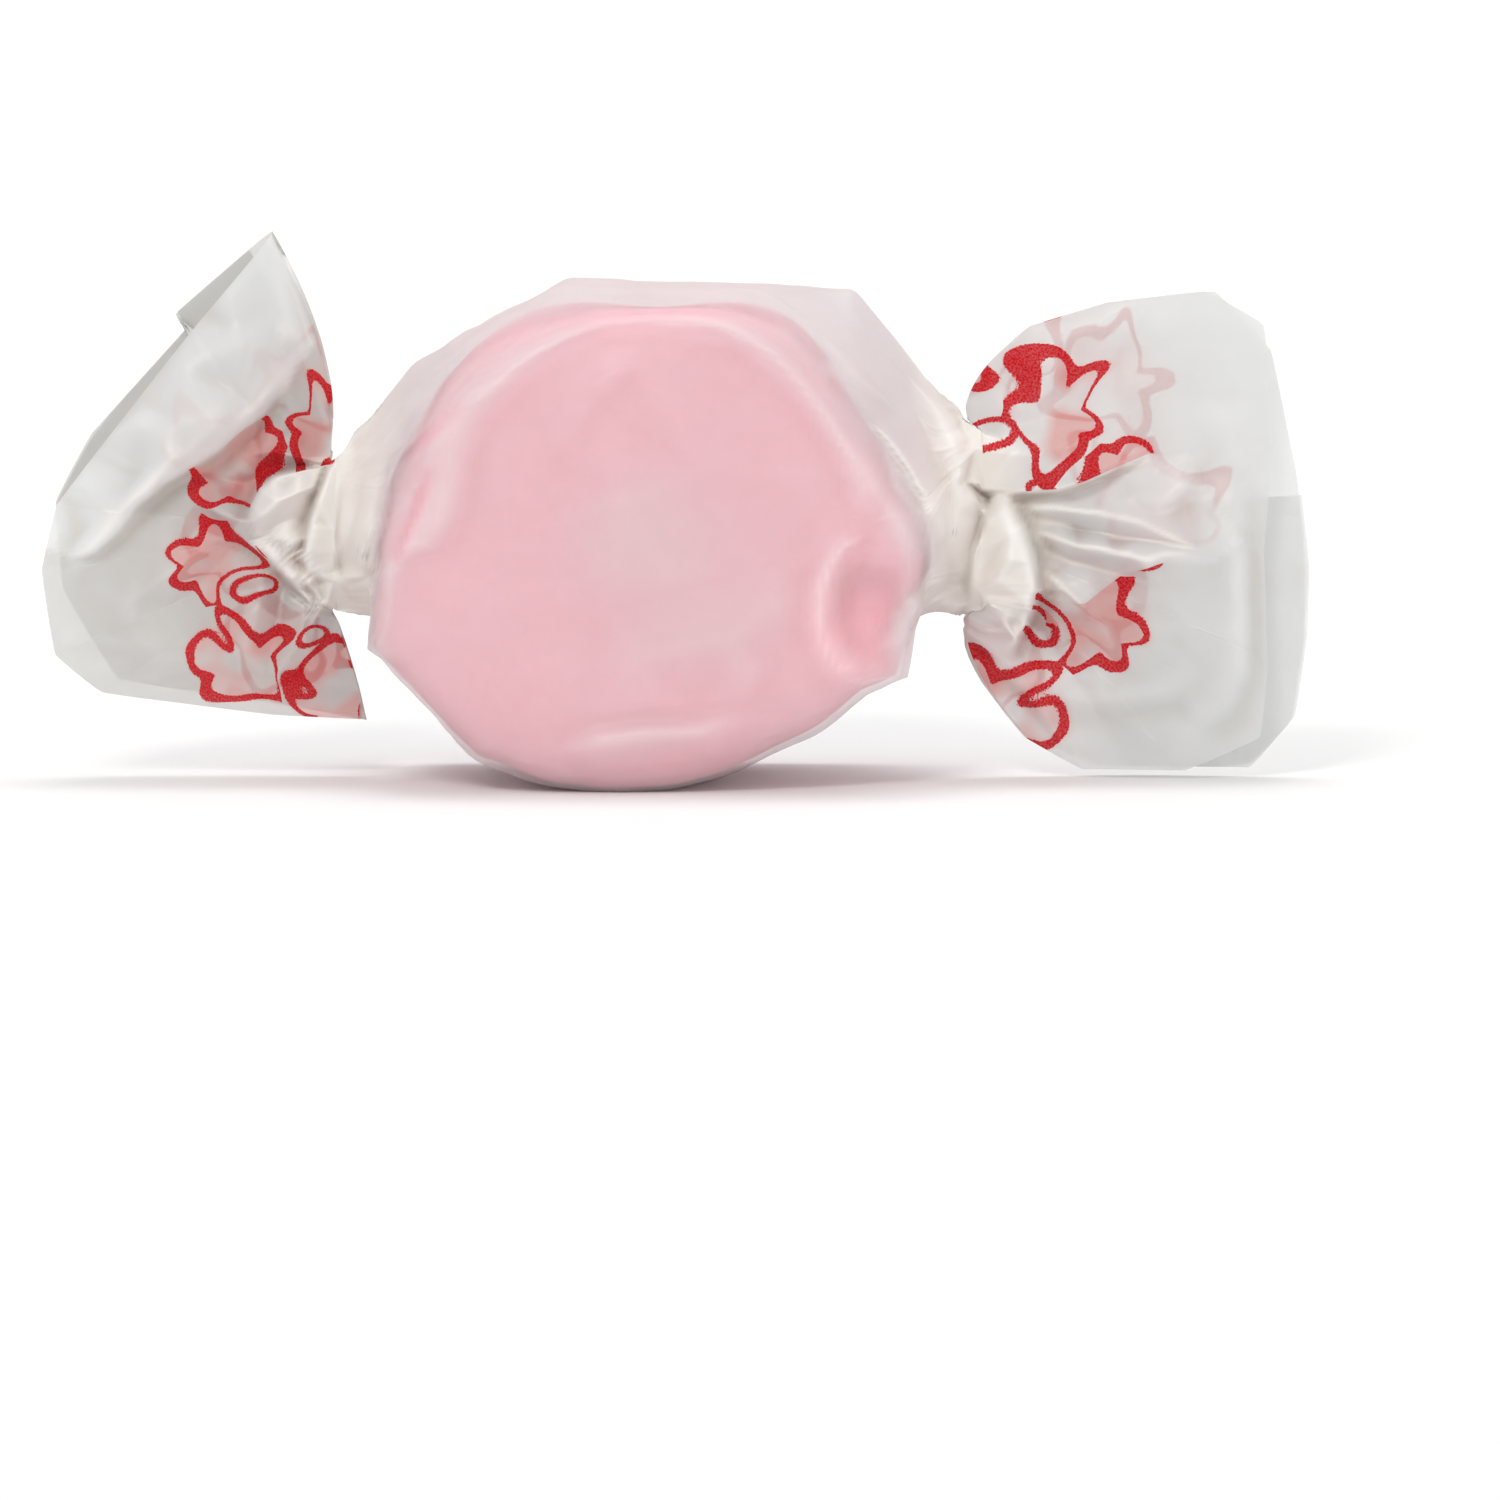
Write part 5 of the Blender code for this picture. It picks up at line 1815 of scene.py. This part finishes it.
    def dress(self, paper: bpy.types.Object) -> None:
        """Gives the finished paper its material and sets it in the frame."""
        dress_piece(paper, self.finish.build())
        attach(paper, "root")
        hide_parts("wrapper")


@dataclass(frozen=True)
class Softbox:
    """One square soft light, aimed at the candy."""

    name: str
    place: tuple[float, float, float]
    width: float
    watts: float
    colour: str = "#ffffff"
    aim: tuple[float, float, float] = (0.0, 0.0, 0.01)


@dataclass
class Studio:
    """A white board that curves up behind, soft lights and the camera."""

    board_width: float = 2.4
    board_depth: float = 2.4
    board_height: float = 1.2
    board_back: float = 0.6
    curve: float = 0.35
    aim_x: float = 3.3 * MM
    aim_z: float = 1.25 * MM
    camera_away: float = 0.5
    camera_up: float = 5.0
    view_width: float = 66.75 * MM
    sensor: float = 36.0
    surround: str = "#ffffff"
    surround_strength: float = 0.52
    lights: tuple[Softbox, ...] = (
        Softbox("key", (-0.13, -0.46, 0.36), 0.14, 1.18, "#fffdfa"),
        Softbox("fill", (0.36, -0.42, 0.10), 0.3, 0.5, "#fffdfa"),
        Softbox("left edge", (-0.5, -0.02, 0.16), 0.3, 0.45),
        Softbox("right edge", (0.5, -0.02, 0.16), 0.3, 0.45),
        Softbox("top", (0.05, 0.05, 0.55), 0.4, 0.6),
        Softbox("backdrop", (0.0, 0.12, 0.5), 0.3, 1.3, aim=(0.0, 0.6, 0.12)),
    )
    finish: PaintedBoardFinish = PaintedBoardFinish()

    def build_board(self) -> None:
        """Models the floor and its curved back in one board."""
        bpy.ops.object.select_all(action="DESELECT")
        bpy.ops.mesh.primitive_plane_add(size=1.0)
        board = bpy.context.object
        board.name = "studio_board"
        bpy.ops.object.mode_set(mode="EDIT")
        bpy.ops.transform.resize(value=(self.board_width, self.board_depth, 1.0))
        bpy.ops.transform.translate(value=(0.0, self.board_back - self.board_depth / 2, 0.0))
        bpy.ops.mesh.select_all(action="DESELECT")
        bpy.ops.object.mode_set(mode="OBJECT")
        for edge in board.data.edges:
            ends = [board.data.vertices[v].co.y for v in edge.vertices]
            edge.select = min(ends) > self.board_back - 1e-4
        for vertex in board.data.vertices:
            vertex.select = vertex.co.y > self.board_back - 1e-4
        bpy.ops.object.mode_set(mode="EDIT")
        bpy.ops.mesh.select_mode(type="EDGE")
        bpy.ops.mesh.extrude_region_move(TRANSFORM_OT_translate={"value": (0.0, 0.0, self.board_height)})
        bpy.ops.object.mode_set(mode="OBJECT")
        curve = board.modifiers.new("curve", "BEVEL")
        curve.width = self.curve
        curve.segments = 24
        curve.limit_method = "ANGLE"
        bpy.ops.object.modifier_apply(modifier=curve.name)
        bpy.ops.object.shade_smooth()
        board.data.materials.append(self.finish.build())
        log.info("studio_board: %d faces", len(board.data.polygons))

    def build_lights(self) -> None:
        """Hangs the soft lights and whitens the surround."""
        for box in self.lights:
            lamp = bpy.data.lights.new(box.name, "AREA")
            lamp.shape = "SQUARE"
            lamp.size = box.width
            lamp.energy = box.watts
            lamp.color = linear(box.colour)[:3]
            light = bpy.data.objects.new(box.name, lamp)
            bpy.context.scene.collection.objects.link(light)
            light.location = box.place
            light.rotation_mode = "QUATERNION"
            light.rotation_quaternion = (Vector(box.aim) - Vector(box.place)).to_track_quat("-Z", "Y")
        world = bpy.data.worlds.new("studio")
        world.use_nodes = True
        world.node_tree.nodes.clear()
        glow = add_node(
            world.node_tree,
            "ShaderNodeBackground",
            {"Color": linear(self.surround), "Strength": self.surround_strength},
        )
        add_node(world.node_tree, "ShaderNodeOutputWorld", {"Surface": glow.outputs[0]})
        bpy.context.scene.world = world

    def build_camera(self) -> None:
        """Sets the long lens at the photograph's angle and frame."""
        data = bpy.data.cameras.new("long_lens")
        data.sensor_width = self.sensor
        data.lens = self.sensor * self.camera_away / self.view_width
        data.clip_start = 0.01
        data.clip_end = 20.0
        camera = bpy.data.objects.new("long_lens", data)
        bpy.context.scene.collection.objects.link(camera)
        tilt = math.radians(self.camera_up)
        aim = Vector((self.aim_x, 0.0, self.aim_z))
        back = Vector((0.0, -math.cos(tilt), math.sin(tilt)))
        camera.location = aim + back * self.camera_away
        camera.rotation_mode = "QUATERNION"
        camera.rotation_quaternion = (-back).to_track_quat("-Z", "Y")
        bpy.context.scene.camera = camera

    def set_light_paths(self) -> None:
        """Lets light through enough layers of paper, and keeps whites as they are."""
        scene = bpy.context.scene
        scene.view_settings.view_transform = "Standard"
        scene.cycles.transparent_max_bounces = 16
        scene.cycles.diffuse_bounces = 4
        scene.cycles.transmission_bounces = 6
        scene.cycles.max_bounces = 8


def main() -> None:
    """Builds the candy, the wrapper and the studio in turn."""
    logging.basicConfig(level=logging.INFO, format="%(name)s %(message)s")
    maker = Candy()
    wrapping = Wrapper()
    candy = maker.build()
    form = maker.build(even=True)
    paper = wrapping.build(candy, form)
    bpy.data.objects.remove(form, do_unlink=True)
    for piece in (candy, paper):
        write_points(piece.data, read_points(piece.data) + maker.offset())
    maker.dress(candy)
    wrapping.dress(paper)

    studio = Studio()
    studio.build_board()
    studio.build_lights()
    studio.build_camera()
    studio.set_light_paths()


if __name__ == "__main__":
    main()
